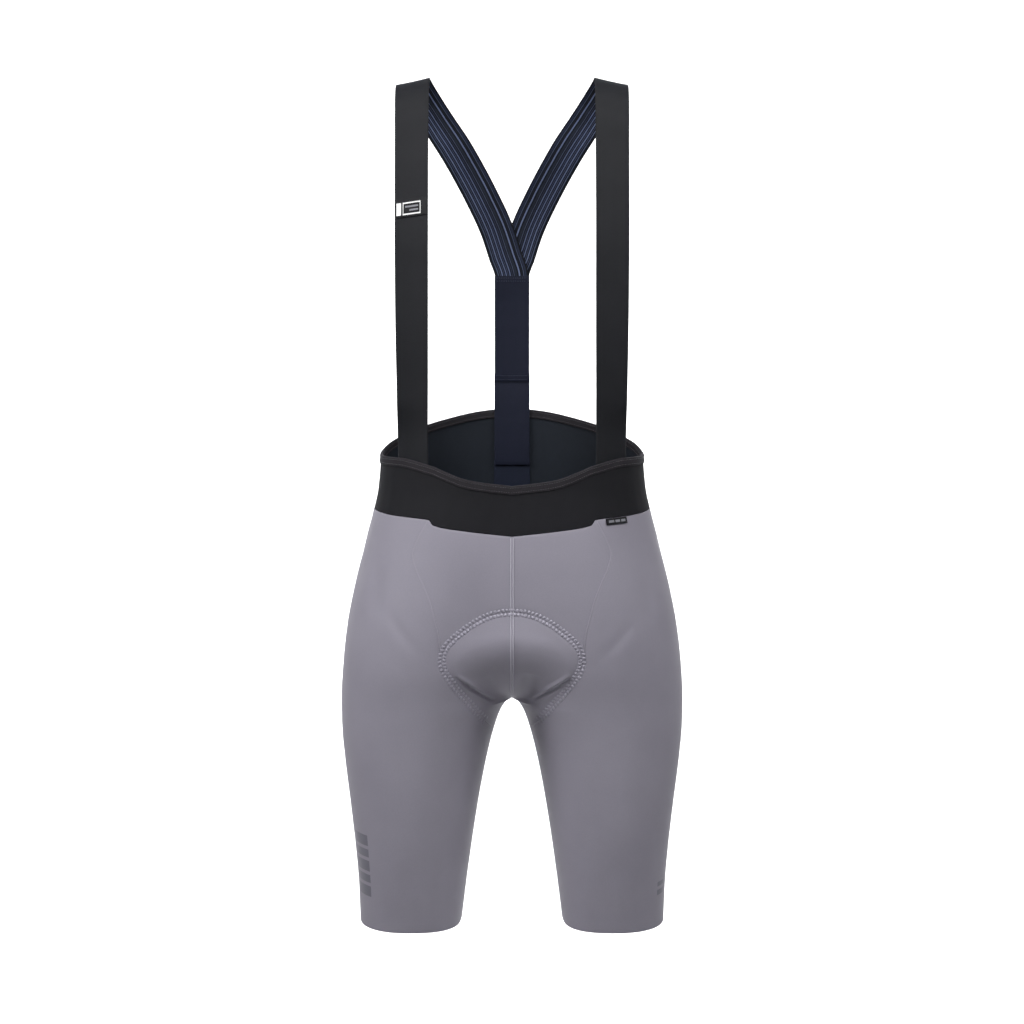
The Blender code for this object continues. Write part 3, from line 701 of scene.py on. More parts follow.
# Woven elastic webbing: fine lengthwise ribs from the covered rubber yarns, with smooth, closed selvedges.
# Body-side stripes are dyed yarns a millimetre or less wide, unevenly spaced.
def wovenElastic(name, light, dark, ribs=0.0012, roughness=0.62, width=0.0366, stripes=None):
    material, tree, shader = newMaterial(name, {
        "Roughness": roughness,
        "Sheen Weight": 0.05,
        "Sheen Roughness": 0.5,
        "Sheen Tint": linear("#9aa0b4"),
        "Specular IOR Level": 0.2,
    })
    uv = addNode(tree, "UVMap", uv_map="cloth")
    split = addNode(tree, "SeparateXYZ", links={"Vector": uv.outputs["UV"]})
    rib = addNode(tree, "TexWave", {"Scale": 1 / ribs / 3.14, "Distortion": 0.15, "Detail": 1.0},
                  {"Vector": uv.outputs["UV"]}, bands_direction="X")
    pick = addNode(tree, "TexWave", {"Scale": 1 / 0.0009 / 3.14, "Distortion": 0.4, "Detail": 1.0},
                   {"Vector": uv.outputs["UV"]}, bands_direction="Y")
    fleck = addNode(tree, "TexNoise", {"Scale": 700.0, "Detail": 2.0}, {"Vector": uv.outputs["UV"]})
    tone = addNode(tree, "Mix", {"Factor": 0.55}, {"A": rib.outputs["Fac"], "B": fleck.outputs["Fac"]})
    colour = ramp(tree, tone.outputs["Result"], ((0.2, linear(dark)), (0.8, linear(light))))
    if stripes:
        share = addNode(tree, "Math", {1: width}, {0: split.outputs["X"]}, operation="DIVIDE")
        wander = addNode(tree, "TexNoise", {"Scale": 60.0, "Detail": 1.0}, {"Vector": uv.outputs["UV"]})
        nudge = addNode(tree, "MapRange", {"To Min": -0.008, "To Max": 0.008},
                        {"Value": wander.outputs["Fac"]})
        moved = addNode(tree, "Math", links={0: share.outputs["Value"], 1: nudge.outputs["Result"]})
        bands = ramp(tree, moved.outputs["Value"], stripes, "CONSTANT")
        speckle = addNode(tree, "MapRange",
                          {"From Min": 0.25, "From Max": 0.75, "To Min": 0.7, "To Max": 1.0},
                          {"Value": fleck.outputs["Fac"]})
        toned = addNode(tree, "Mix", {"Factor": 1.0}, {"A": bands, "B": speckle.outputs["Result"]},
                        data_type="RGBA", blend_type="MULTIPLY")
        colour = toned.outputs["Result"]
    tree.links.new(colour, shader.inputs["Base Color"])
    both = addNode(tree, "Mix", {"Factor": 0.4}, {"A": rib.outputs["Fac"], "B": pick.outputs["Fac"]})
    bump = addNode(tree, "Bump", {"Strength": 0.5, "Distance": 0.00012}, {"Height": both.outputs["Result"]})
    tree.links.new(bump.outputs["Normal"], shader.inputs["Normal"])
    return material


# Spun polyester thread of two plies. Fine lighter flecks in its colour stand in for their small broken
# highlight: a painted highlight.
def spunThread(name, light, dark, roughness=0.55):
    material, tree, shader = newMaterial(name, {"Roughness": roughness, "Sheen Weight": 0.2})
    coords = addNode(tree, "TexCoord")
    ply = addNode(tree, "TexNoise", {"Scale": 1500.0, "Detail": 1.0}, {"Vector": coords.outputs["Object"]})
    colour = ramp(tree, ply.outputs["Fac"], ((0.35, linear(dark)), (0.65, linear(light))))
    tree.links.new(colour, shader.inputs["Base Color"])
    return material


# Body-side stripes of the shoulder straps: where each starts as a share of the width from the neck edge, and
# its share of the width. The ground shows between them.
strapStripes = {
    "columns": ("start", "width", "colour"),
    "rows": (
        (0.000, 0.030, "#0c0f18"),
        (0.045, 0.055, "#232a3e"),
        (0.118, 0.022, "#4d5872"),
        (0.235, 0.046, "#6b7798"),
        (0.330, 0.050, "#1f2632"),
        (0.405, 0.018, "#4a536b"),
        (0.465, 0.014, "#39425c"),
        (0.520, 0.032, "#5d6988"),
        (0.590, 0.016, "#3f4966"),
        (0.640, 0.030, "#5d6988"),
        (0.705, 0.016, "#454e68"),
        (0.755, 0.036, "#626e8d"),
        (0.825, 0.018, "#454e68"),
        (0.880, 0.024, "#56617c"),
        (0.972, 0.028, "#0c0f18"),
    ),
    "ground": "#0a0e1b",
}


def stripeStops():
    stops = []
    ground = linear(strapStripes["ground"])
    for row in strapStripes["rows"]:
        c = dict(zip(strapStripes["columns"], row))
        stops += [(c["start"], linear(c["colour"])), (c["start"] + c["width"], ground)]
    return stops


legCloth = warpKnit("warpKnitLilacGrey", "#8d8a95", "#827f8a")
legInside = warpKnit("warpKnitBackLilacGrey", "#76737d", "#6b6872", roughness=0.7)
bandKnit = warpKnit("powerKnitBlack", "#101016", "#0b0b10", ribs=0.0022, roughness=0.76, sheen=0.03,
                    bumpHeight=0.00009)
bandInside = warpKnit("powerKnitNavyInside", "#191f28", "#131820", ribs=0.0022, roughness=0.78, sheen=0.03,
                      bumpHeight=0.00009)
tapeWeave = wovenElastic("foldedElasticTape", "#29262b", "#18171a", ribs=0.0016, roughness=0.75)
strapFace = wovenElastic("wovenElasticBlack", "#1a1b1f", "#111216")
strapBodySide = wovenElastic("wovenElasticStriped", "#1c2133", "#141826", stripes=stripeStops())
backFace = wovenElastic("wovenElasticNavy", "#181c2d", "#101423")
patchCloth = warpKnit("bondedPatchDarkNavy", "#141b2e", "#0f1524", roughness=0.8)
padCover = warpKnit("brushedMicrofibreCharcoal", "#3c3c42", "#303036", roughness=0.85, sheen=0.35)
# The pad's cover-stitch thread is a little lighter than the leg cloth: a painted highlight on the stitch
# tops.
padThread = warpKnit("coverStitchLilacGreyPaintedHighlight", "#9895a1", "#8b8894")
# The seam beads are a little lighter than the leg cloth they are sewn from: a painted highlight along the
# raised seams.
seamKnit = warpKnit("flatSeamLilacGreyPaintedHighlight", "#918e99", "#87848f")
railKnit = warpKnit("centreSeamLilacGrey", "#b3b0bb", "#a3a0ac")
blackThread = spunThread("spunThreadBlack", "#3b393f", "#232226")
navyThread = spunThread("spunThreadNavy", "#2c3552", "#1b2136")
blackSatin = wovenElastic("wovenLabelBlack", "#17181b", "#0d0e10", ribs=0.0006, roughness=0.5)
whiteSatin = wovenElastic("wovenLabelWhite", "#f2f2f2", "#dcdcdc", ribs=0.0006, roughness=0.5)
greySatin = wovenElastic("wovenLabelGrey", "#8b8c92", "#6d6e74", ribs=0.0006, roughness=0.5)
tonalPrint = warpKnit("heatTransferTonal", "#6b6974", "#64626d", roughness=0.42, sheen=0.03)
print("materials ready")


# Legs and front panels

panels = {
    "thickness": 0.0012,
    "tongueLevel": 1.3,
    "upperRows": 168,
    "lowerRows": 90,
    "frontColumns": 60,
    "legFrontColumns": 64,
    "legBackColumns": 72,
    "edgeStrip": 0.0011,
}


def panelLevels():
    upper = np.linspace(0, 1, panels["upperRows"] + 1)
    lower = 1 + np.linspace(0, 1, panels["lowerRows"] + 1)[1:]
    extra = [0.004, panels["tongueLevel"], panels["tongueLevel"] + 0.0004, 1.997]
    return np.unique(np.concatenate([upper, lower, extra]))


# turnsOf(level) lists the turns of the panel's columns on that row.
def panelShell(name, side, rows, turnsOf):
    points, normals, uvs = [], [], []
    for level in rows:
        turns = turnsOf(level)
        drops = levelDrop(level, turns)
        point, normal = clothPoint(drops, turns, side)
        point[:, 0] += side * seamGap / 2
        points.append(point)
        normals.append(normal)
        uvs.append(np.stack([turns * creases["perTurn"], drops], axis=1))
    return shell(name, np.array(points), np.array(normals), panels["thickness"], np.array(uvs),
                 [legCloth, legInside])


# Evenly spread turns with a narrow strip at both ends, for the rolled edge.
def withStrips(start, end, count):
    strip = min(panels["edgeStrip"] / creases["perTurn"], (end - start) / 8)
    middle = np.linspace(start + strip, end - strip, count - 1)
    return np.concatenate([[start], middle, [end]])


# The panels meet on the centre line above the crotch, and leave a gap at the inseam below it.
def inseamTurn(level):
    return seamGapTurn if level > 0.999 else 0.0


def frontTurns(level):
    return withStrips(inseamTurn(level), seamTurn(level) - seamGapTurn, panels["frontColumns"])


def legTurns(level):
    seam = seamTurn(level) if level < panels["tongueLevel"] + 0.0002 else 0.0
    front = withStrips(seam + seamGapTurn, 1, panels["legFrontColumns"])
    back = withStrips(1, 2 - inseamTurn(level), panels["legBackColumns"])
    return np.concatenate([front[:-2], [1.0], back[2:]])


levels = panelLevels()
tongueRows = levels[levels <= panels["tongueLevel"] + 0.0001]
for side, word in ((1, "left"), (-1, "right")):
    front = panelShell("frontPanel_" + word, side, tongueRows, frontTurns)
    dress(front, "leg_cloth", "front_panel_" + word)
    leg = panelShell("legPanel_" + word, side, levels, legTurns)
    dress(leg, "leg_cloth", "leg_panel_" + word)
print("panels ready")


# Waistband and its binding

band = {
    "thickness": 0.0018,
    "rows": 26,
    "halfColumns": 90,
    "waves": 0.00035,
}
binding = {
    "tape": 0.0008,
    "depth": 0.0095,
    "stitchRows": (0.0026, 0.0074),
    "stitchPitch": 0.0026,
    "stitchLength": 0.0017,
    "stitchRadius": 0.00022,
}


# Heights of the band's faint upright ripples where the elastic draws it in
def bandWave(turns, share):
    around = np.asarray(turns) * creases["perTurn"]
    return band["waves"] * ripple(3, around, longest=0.07) * (0.4 + 0.6 * share)


def bandGrid(turns):
    half = folded(turns)
    start = bandEdge["top"](half) + binding["tape"] + seamGap
    end = bandEdge["foot"](half) - seamGap / 2
    points, normals, uvs = [], [], []
    shares = np.concatenate([[0, 0.012], np.linspace(0.03, 0.97, band["rows"] - 3), [0.988, 1]])
    for share in shares:
        drops = start + (end - start) * share
        point, normal = ring(drops, turns)
        points.append(point + normal * bandWave(turns, share)[:, None])
        normals.append(normal)
        uvs.append(np.stack([turns * creases["perTurn"], drops], axis=1))
    return np.array(points), np.array(normals), np.array(uvs)


# Tape folded over the top edge, its section rounded at the fold and at both cut edges
def buildBinding(name, turns):
    half = folded(turns)
    top = bandEdge["top"](half)
    tape, gap, thick, depth = binding["tape"], seamGap, band["thickness"], binding["depth"]
    middle = -thick / 2
    outRadius = thick / 2 + gap + tape
    section = [(gap + tape * 0.55, depth), (gap + tape, depth - 0.0003)]
    section += [(gap + tape, d) for d in (0.0074, 0.0050, 0.0030)]
    for angle in np.linspace(0, math.pi, 9):
        section.append((middle + outRadius * math.cos(angle), outRadius * (1 - math.sin(angle))))
    section += [(-thick - gap - tape, d) for d in (0.0030, 0.0050, 0.0074)]
    section += [(-thick - gap - tape, depth - 0.0003), (-thick - gap - tape * 0.55, depth)]
    section += [(-thick - gap, depth - 0.0002), (-thick - gap, tape * 1.6), (-thick - gap + 0.0006, tape)]
    section += [(gap - 0.0006, tape), (gap, tape * 1.6), (gap, depth - 0.0002)]
    verts, uvs = [], []
    length = 0
    for k, (out, down) in enumerate(section):
        if k:
            length += math.hypot(out - section[k - 1][0], down - section[k - 1][1])
        point, normal = ring(top + down, turns)
        verts.append(point + normal * (out + bandWave(turns, 0.0))[:, None])
        uvs.append(np.stack([turns * creases["perTurn"], np.full(len(turns), length)], axis=1))
    count, columns = len(section), len(turns)
    index = np.arange(count * columns).reshape(count, columns)
    nextOne = np.roll(index, -1, axis=0)
    faces = np.stack([index[:, :-1], index[:, 1:], nextOne[:, 1:], nextOne[:, :-1]], -1).reshape(-1, 4)
    faces = [tuple(f) for f in faces] + [tuple(index[:, 0]), tuple(index[::-1, -1])]
    return addMesh(name, np.concatenate(verts), faces, np.concatenate(uvs), None, [tapeWeave], smooth=50)


# Short dashes of thread that lie along a row, sinking into the cloth at both ends
def dashes(path, ups, pitch, length, radius, phase=0.0):
    lengths = np.concatenate([[0], np.cumsum(np.linalg.norm(np.diff(path, axis=0), axis=1))])
    out, outUps = [], []
    for start in np.arange(phase, lengths[-1] - length, pitch):
        places = start + length * np.array((0, 0.2, 0.5, 0.8, 1))
        point = np.stack([np.interp(places, lengths, path[:, k]) for k in range(3)], axis=1)
        up = np.stack([np.interp(places, lengths, ups[:, k]) for k in range(3)], axis=1)
        sink = radius * np.array((-1.3, 0.2, 0.55, 0.2, -1.3))
        out.append(point + up * sink[:, None])
        outUps.append(up)
    return out, outUps


def bindingStitches(name, turns):
    half = folded(turns)
    top = bandEdge["top"](half)
    lines, ups = [], []
    for down in binding["stitchRows"]:
        for out in (seamGap + binding["tape"], -band["thickness"] - seamGap - binding["tape"]):
            point, normal = ring(top + down, turns)
            facing = normal if out > 0 else -normal
            path = point + normal * (out + bandWave(turns, 0.0))[:, None]
            some, theirUps = dashes(path, facing, binding["stitchPitch"], binding["stitchLength"],
                                    binding["stitchRadius"], phase=down * 0.3)
            lines += some
            ups += theirUps
    return threads(name, lines, binding["stitchRadius"], blackThread, sides=4, ups=ups)


bandParts = (
    # word, turn from and to, cut size, area of the cut, length of the binding's cut
    ("front", -0.9992, 0.9992, (0.415, 0.074), 0.0250, 0.395),
    ("back", 1.0008, 2.9992, (0.415, 0.110), 0.0330, 0.360),
)
for word, first, last, cut, area, length in bandParts:
    turns = np.linspace(first, last, 2 * band["halfColumns"] + 1)
    points, normals, uvs = bandGrid(turns)
    piece = shell("waistband_" + word + ".visual", points, normals, band["thickness"], uvs,
                  [bandKnit, bandInside], pinch=0.2)
    dress(piece, "band_cloth", "waistband_" + word)
    tape = dress(buildBinding("binding_" + word + ".visual", turns), "tape", "binding_" + word)
    stitches = dress(bindingStitches("bindingStitches_" + word, turns), "tape")
print("waistband ready")


# Straps

strap = {
    "thickness": 0.0014,
    "layer": 0.0019,
    "bandInset": 0.0052,
    "shoulderRadius": 0.045,
    "shoulderSweep": math.radians(78),
    "shoulderX": 0.107,
    "shoulderSlope": math.tan(math.radians(12.5)),
    "hollow": 1.2,
    "hollowStart": 0.08,
    "layerStart": 0.12,
    "meetsBand": {"front": 0.348, "back": 0.310},
    "meetsBandOver": 0.05,
    "columns": 17,
    "frontEnd": 0.455,
    "backEnd": 0.214,
    "curl": 0.0005,
}
strapColumns = ("drop", "x", "forward", "slant", "yaw", "width")
frontStrap = linesOf(strapColumns, (
    (0.000, 0.1070, 0.0000, 12.5, 0.00, 0.0366),
    (0.036, 0.1068, 0.0445, 10.0, 0.02, 0.0362),
    (0.070, 0.1066, 0.0545, 5.0, 0.05, 0.0358),
    (0.120, 0.1064, 0.0655, 1.0, 0.08, 0.0356),
    (0.190, 0.1062, 0.0755, 0.0, 0.14, 0.0354),
    (0.270, 0.1058, 0.0785, 0.0, 0.24, 0.0347),
    (0.340, 0.1054, 0.0760, 0.0, 0.38, 0.0334),
    (0.400, 0.1050, 0.0690, 0.0, 0.66, 0.0325),
    (0.455, 0.1045, 0.0700, 0.0, 0.70, 0.0325),
))
backStrap = linesOf(strapColumns, (
    (0.000, 0.1070, 0.0000, 12.5, 0.00, 0.0368),
    (0.036, 0.0832, 0.0445, 17.0, 0.00, 0.0372),
    (0.073, 0.0589, 0.0550, 29.0, 0.00, 0.0370),
    (0.125, 0.0304, 0.0680, 28.5, 0.00, 0.0372),
    (0.154, 0.0172, 0.0740, 24.0, 0.00, 0.0374),
    (0.181, 0.0082, 0.0790, 18.0, 0.00, 0.0374),
    (0.206, 0.0004, 0.0825, 6.0, 0.00, 0.0374),
    (0.215, 0.0000, 0.0835, 0.0, 0.00, 0.0374),
    (0.260, 0.0000, 0.0875, 0.0, 0.00, 0.0400),
    (0.360, 0.0000, 0.0920, 0.0, 0.00, 0.0400),
))


# How far a strap's body side lies forward of the origin, or behind it
def strapForward(x, drop, back, layer):
    lines = backStrap if back else frontStrap
    radius = strap["shoulderRadius"]
    across = np.sqrt(x * x + 0.0004)
    below = np.clip(drop - strap["shoulderSlope"] * (across - strap["shoulderX"]), 0, None)
    arc = np.sqrt(np.clip(radius**2 - (radius - below) ** 2, 0, None))
    depth = radius * (1 - math.cos(strap["shoulderSweep"]))
    free = np.where(below < depth, arc, lines["forward"](below))
    if back:
        free = free - strap["hollow"] * x * x * ease(below / strap["hollowStart"])
        free = free + layer * strap["layer"] * ease(below / strap["layerStart"])
    else:
        free = free - lines["yaw"](drop) * (np.abs(x) - lines["x"](drop))
    facing = "back" if back else "front"
    held = np.maximum(drop, 0.35)
    wide = np.abs(x)
    tilt = (reach(wide + 0.001, held, facing) - reach(np.abs(wide - 0.001), held, facing)) / 0.002
    atBand = reach(wide, held, facing) - strap["bandInset"] * np.sqrt(1 + tilt * tilt)
    start = strap["meetsBand"][facing]
    return free + (atBand - free) * ease((drop - start) / strap["meetsBandOver"])


# A point of a strap's body side. share runs from -1 at its neck edge to 1 at its outer edge.
def strapPoint(drop, share, side, back, layer):
    lines = backStrap if back else frontStrap
    slant = np.radians(lines["slant"](drop))
    half = lines["width"](drop) / 2
    if back:
        x = lines["x"](drop) + share * half * np.cos(slant)
        low = drop + share * half * np.sin(slant)
    else:
        x = lines["x"](drop) + share * half
        low = drop + share * half * np.tan(slant)
    forward = strapForward(x, low, back, layer)
    return np.stack([side * x, forward if back else -forward, -low], axis=-1)


def strapRows():
    rows = [(drop, False) for drop in np.linspace(strap["frontEnd"], 0.042, 104)]
    angles = np.linspace(-strap["shoulderSweep"], strap["shoulderSweep"], 44)
    rows += [(strap["shoulderRadius"] * (1 - math.cos(angle)), angle > 0) for angle in angles]
    return rows + [(drop, True) for drop in np.linspace(0.042, strap["backEnd"], 56)]


def gridNormals(grid, flip):
    along = np.gradient(grid, axis=0)
    across = np.gradient(grid, axis=1)
    normals = np.cross(across, along) * flip
    return normals / np.linalg.norm(normals, axis=-1, keepdims=True)


def lengthsAlong(grid):
    middle = grid[:, grid.shape[1] // 2]
    return np.concatenate([[0], np.cumsum(np.linalg.norm(np.diff(middle, axis=0), axis=1))])


def ribbonUvs(grid, shares, width):
    along = lengthsAlong(grid)
    across = (np.asarray(shares) + 1) / 2 * width
    return np.stack(np.broadcast_arrays(across[None, :], along[:, None]), axis=-1)


shares = np.concatenate([[-1, -0.965], np.linspace(-0.9, 0.9, strap["columns"] - 4), [0.965, 1]])
for word, side, layer in (("left", 1, 2), ("right", -1, 1)):
    rows = strapRows()
    grid = [[strapPoint(drop, share, side, back, layer) for share in shares] for drop, back in rows]
    grid = np.array(grid)
    normals = gridNormals(grid, side)
    along = lengthsAlong(grid)
    free = ease((along - 0.03) / 0.06) * ease((along[-1] - 0.04 - along) / 0.05)
    sway = ripple(11 + side, along, longest=0.16)[:, None]
    curl = strap["curl"] * (shares[None, :] ** 2 * 0.8 + 0.5 * sway)
    grid = grid + normals * (curl * free[:, None])[..., None]
    piece = shell("shoulderStrap_" + word, grid + normals * strap["thickness"], normals, strap["thickness"],
                  ribbonUvs(grid, shares, 0.0366), [strapFace, strapBodySide], pinch=0.24)
    dress(piece, "webbing", "shoulder_strap_" + word)

backPieces = (
    # node, first drop, last drop, half width, rows, layer at the start
    ("back_strap_upper", 0.2055, 0.3245, 0.0196, 44, 0),
    ("back_strap_lower", 0.3155, 0.4195, 0.0200, 44, 1),
)
for node, first, last, half, count, layer in backPieces:
    drops = np.linspace(first, last, count)
    grid = []
    for drop in drops:
        behind = layer * (1 - float(ease((drop - 0.326) / 0.02)))
        x = shares * half
        grid.append(np.stack([x, strapForward(x, np.full(len(x), drop), True, behind),
                              np.full(len(x), -drop)], axis=-1))
    grid = np.array(grid)
    normals = gridNormals(grid, 1)
    along = lengthsAlong(grid)
    loose = ease(along / 0.02) * ease((along[-1] - 0.03 - along) / 0.03)
    grid = grid + normals * (0.0003 * ripple(21, along, longest=0.07) * loose)[:, None, None]
    piece = shell(node + ".visual", grid + normals * strap["thickness"], normals, strap["thickness"],
                  ribbonUvs(grid, shares, 2 * half), [backFace, backFace], pinch=0.24)
    dress(piece, "back_webbing", node)

anchorPatch = {
    "turns": (1.91, 2.09),
    "drops": (0.4120, 0.4520),
    "thickness": 0.0010,
    "flat": (0.043, 0.040),
}
turns = np.linspace(*anchorPatch["turns"], 33)
drops = np.linspace(*anchorPatch["drops"], 15)
points, normals = ring(drops[:, None], turns[None, :])
points = points - normals * (band["thickness"] + seamGap)
piece = shell("strapAnchorPatch", points, normals, anchorPatch["thickness"], clothUvs(turns, drops),
              [patchCloth, patchCloth], pinch=0.3)
dress(piece, "back_webbing", "strap_anchor_patch")


# Rows of stitching across the back straps: the Y join, the lap below it and the end on the band
acrossStitches = {
    "columns": ("drop", "half"),
    "rows": ((0.2078, 0.0176), (0.2112, 0.0176), (0.3180, 0.0188), (0.3222, 0.0188)),
    "radius": 0.00024,
    "pitch": 0.0026,
    "length": 0.0018,
}
lines, ups = [], []
for drop, half in acrossStitches["rows"]:
    x = np.linspace(-half, half, 30)
    bodySide = strapForward(x, np.full(30, drop), True, 0)
    for out in (-1, 1):
        y = bodySide + out * 0.00005 + (0.0 if out < 0 else strap["thickness"] * 3)
        path = np.stack([x, y, np.full(30, -drop)], 1)
        facing = np.tile((0.0, float(out), 0.0), (30, 1))
        some, theirUps = dashes(path, facing, acrossStitches["pitch"], acrossStitches["length"],
                                acrossStitches["radius"])
        lines += some
        ups += theirUps
stitches = dress(threads("strapStitches", lines, acrossStitches["radius"], navyThread, sides=4, ups=ups),
                 "back_webbing")
print("straps ready")


# Label and tag, with plain generic marks

label = {
    "drops": (0.1315, 0.1490),
    "rise": 0.0022,
    "half": 0.93,
    "thickness": 0.0008,
    "mark": 0.00012,
}


# A patch on the right strap's front. across is -1 to 1 of the strap, down is 0 to 1 of the label's height.
def labelPiece(name, across, down, lift, thickness, material, columns=18, rows=8):
    first, last = label["drops"]
    grid = []
    for d in np.linspace(down[1], down[0], rows):
        base = first + (last - first) * d
        line = [strapPoint(base + label["rise"] * s, s, -1, False, 1) for s in np.linspace(*across, columns)]
        grid.append(line)
    grid = np.array(grid)
    normals = gridNormals(grid, -1)
    outer = grid + normals * (strap["thickness"] + seamGap + lift + thickness)
    uvs = np.stack(np.broadcast_arrays(np.linspace(0, 0.036, columns)[None, :],
                                       np.linspace(0, 0.018, rows)[:, None]), axis=-1)
    return shell(name, outer, normals, thickness, uvs, [material, material], pinch=0.15)


piece = labelPiece("strapLabel", (-label["half"], label["half"]), (0, 1), 0, label["thickness"], blackSatin)
dress(piece, "label", "strap_label")
labelMarks = (
    # name, across from and to, down from and to, material
    ("block", (0.60, 0.88), (0.12, 0.88), whiteSatin),
    ("frameTop", (-0.56, 0.50), (0.12, 0.20), whiteSatin),
    ("frameFoot", (-0.56, 0.50), (0.80, 0.88), whiteSatin),
    ("frameOuter", (0.46, 0.50), (0.20, 0.80), whiteSatin),
    ("frameInner", (-0.56, -0.52), (0.20, 0.80), whiteSatin),
    ("barOne", (-0.42, 0.36), (0.34, 0.44), greySatin),
    ("barTwo", (-0.42, 0.10), (0.56, 0.66), greySatin),
)
for word, across, down, material in labelMarks:
    mark = labelPiece("labelMark_" + word, across, down, label["thickness"], label["mark"], material, 10, 4)
    dress(mark, "label")

tag = {
    "turns": (0.447, 0.582),
    "depth": 0.0068,
    "belowBand": 0.00035,
    "proud": 0.0006,
    "thickness": 0.0008,
    "mark": 0.00012,
    "markDown": (0.3, 0.68),
    "marks": {"one": (0.10, 0.34), "two": (0.40, 0.62), "three": (0.68, 0.90)},
}


# A patch on the tag. across and down are 0 to 1 of its width and height.
def tagPiece(name, across, down, lift, thickness, material, columns=14, rows=6):
    first, last = tag["turns"]
    turns = first + (last - first) * np.linspace(*across, columns)
    points, normals = [], []
    for share in np.linspace(*down, rows):
        drops = bandEdge["foot"](turns) + tag["belowBand"] + tag["depth"] * share
        point, normal = clothPoint(drops, turns, 1)
        points.append(point + normal * (tag["proud"] + tag["thickness"] + lift))
        normals.append(normal)
    uvs = clothUvs(turns, np.linspace(0, tag["depth"], rows))
    return shell(name, np.array(points), np.array(normals), thickness, uvs, [material, material], pinch=0.12)


piece = tagPiece("waistbandTag", (0, 1), (0, 1), 0, tag["thickness"], blackSatin)
dress(piece, "label", "waistband_tag")
for word, across in tag["marks"].items():
    mark = tagPiece("tagMark_" + word, across, tag["markDown"], tag["mark"], tag["mark"], greySatin, 6, 4)
    dress(mark, "label")
print("label and tag ready")


# Seams and stitching on the panels

seams = {
    "bead": 0.0009,
    "beadFlat": 0.34,
    "rail": 0.00055,
    "double": 0.0013,
    "strip": 0.0016,
    "stripProud": 0.00035,
    "padDash": 0.0046,
    "padSlant": 0.0018,
    "padPitch": 0.0041,
    "padOffset": 0.0023,
    "padThread": 0.0014,
    "padSink": (-0.8, 0.0, 0.3, 0.3, 0.0, -0.8),
    "sideFrontDrops": (0.4700, 0.7035),
    "inseamStart": 0.676,
    "railStart": {"front": 0.4868, "back": 0.4572},
    "railEnd": 0.6690,
    "stripStart": {"front": 0.4862, "back": 0.4566},
    "stripEnd": (0.6680, 0.6692),
}


# Point and outward direction on the dressed cloth at a place across the front or back
def seamPath(x, drop, side, back=False):
    return clothPoint(drop, turnOfHalf(x, drop, back), side)


beads, beadUps = [], []
rails, railUps = [], []
for side in (1, -1):
    drops = np.linspace(*seams["sideFrontDrops"], 150)
    point, normal = seamPath(frontSeam(drops), drops, side)
    beads.append(point)
    beadUps.append(normal)
    for facing, first in seams["railStart"].items():
        drops = np.linspace(first, seams["railEnd"], 120)
        point, normal = seamPath(np.full(120, seams["double"]), drops, side, facing == "back")
        rails.append(point + normal * seams["stripProud"])
        railUps.append(normal)
    drops = np.linspace(seams["inseamStart"], form["hemDrop"] - 0.0005, 120)
    point, normal = clothPoint(drops, np.full(120, 0.0), side)
    beads.append(point)
    beadUps.append(normal)
piece = threads("seamBeads", beads, seams["bead"], seamKnit, sides=10, flatten=seams["beadFlat"],
                ups=beadUps)
dress(piece, "leg_cloth")
piece = threads("centreSeamRails", rails, seams["rail"], railKnit, sides=8, flatten=0.8, ups=railUps)
dress(piece, "leg_cloth")
for facing, first in seams["stripStart"].items():
    nearEnd, end = seams["stripEnd"]
    drops = np.concatenate([np.linspace(first, nearEnd, 150), [end]])
    points, normals = [], []
    for x in seams["strip"] * np.linspace(-1, 1, 7):
        side = 1 if x >= 0 else -1
        point, normal = seamPath(np.full(len(drops), abs(x)), drops, side, facing == "back")
        points.append(point + normal * seams["stripProud"])
        normals.append(normal)
    points, normals = np.array(points).swapaxes(0, 1), np.array(normals).swapaxes(0, 1)
    across = (seams["strip"] * np.linspace(0, 2, 7))[None, :]
    uvs = np.stack(np.broadcast_arrays(across, drops[:, None]), axis=-1)
    strip = shell("centreSeam_" + facing, points, normals, 0.0004, uvs, [legCloth, legCloth], pinch=0.3)
    dress(strip, "leg_cloth")

lines, ups = [], []
for facing, outline in padLines.items():
    path = resample(outline, seams["padPitch"])
    tangent = np.gradient(path, axis=0)
    tangent /= np.linalg.norm(tangent, axis=1, keepdims=True)
    outward = np.stack([-tangent[:, 1], tangent[:, 0]], axis=1) * -1
    for side in (1, -1):
        for column in (-1, 1):
            for place, ahead, away in zip(path, tangent, outward):
                middle = place + away * column * seams["padOffset"]
                run = np.linspace(-0.5, 0.5, 6)[:, None]
                middle = middle + ahead * column * seams["padPitch"] * 0.25
                dash = middle + run * (away * seams["padDash"] + ahead * column * seams["padSlant"])
                dash[:, 0] = np.maximum(dash[:, 0], 0.0006)
                sink = seams["padThread"] * np.array(seams["padSink"])
                point, normal = seamPath(dash[:, 0], dash[:, 1], side, facing == "back")
                lines.append(point + normal * sink[:, None])
                ups.append(normal)
piece = threads("padStitches", lines, seams["padThread"], padThread, sides=8, flatten=0.32, ups=ups)
dress(piece, "leg_cloth")
print("seams ready")


# Tonal prints on the legs: plain bars

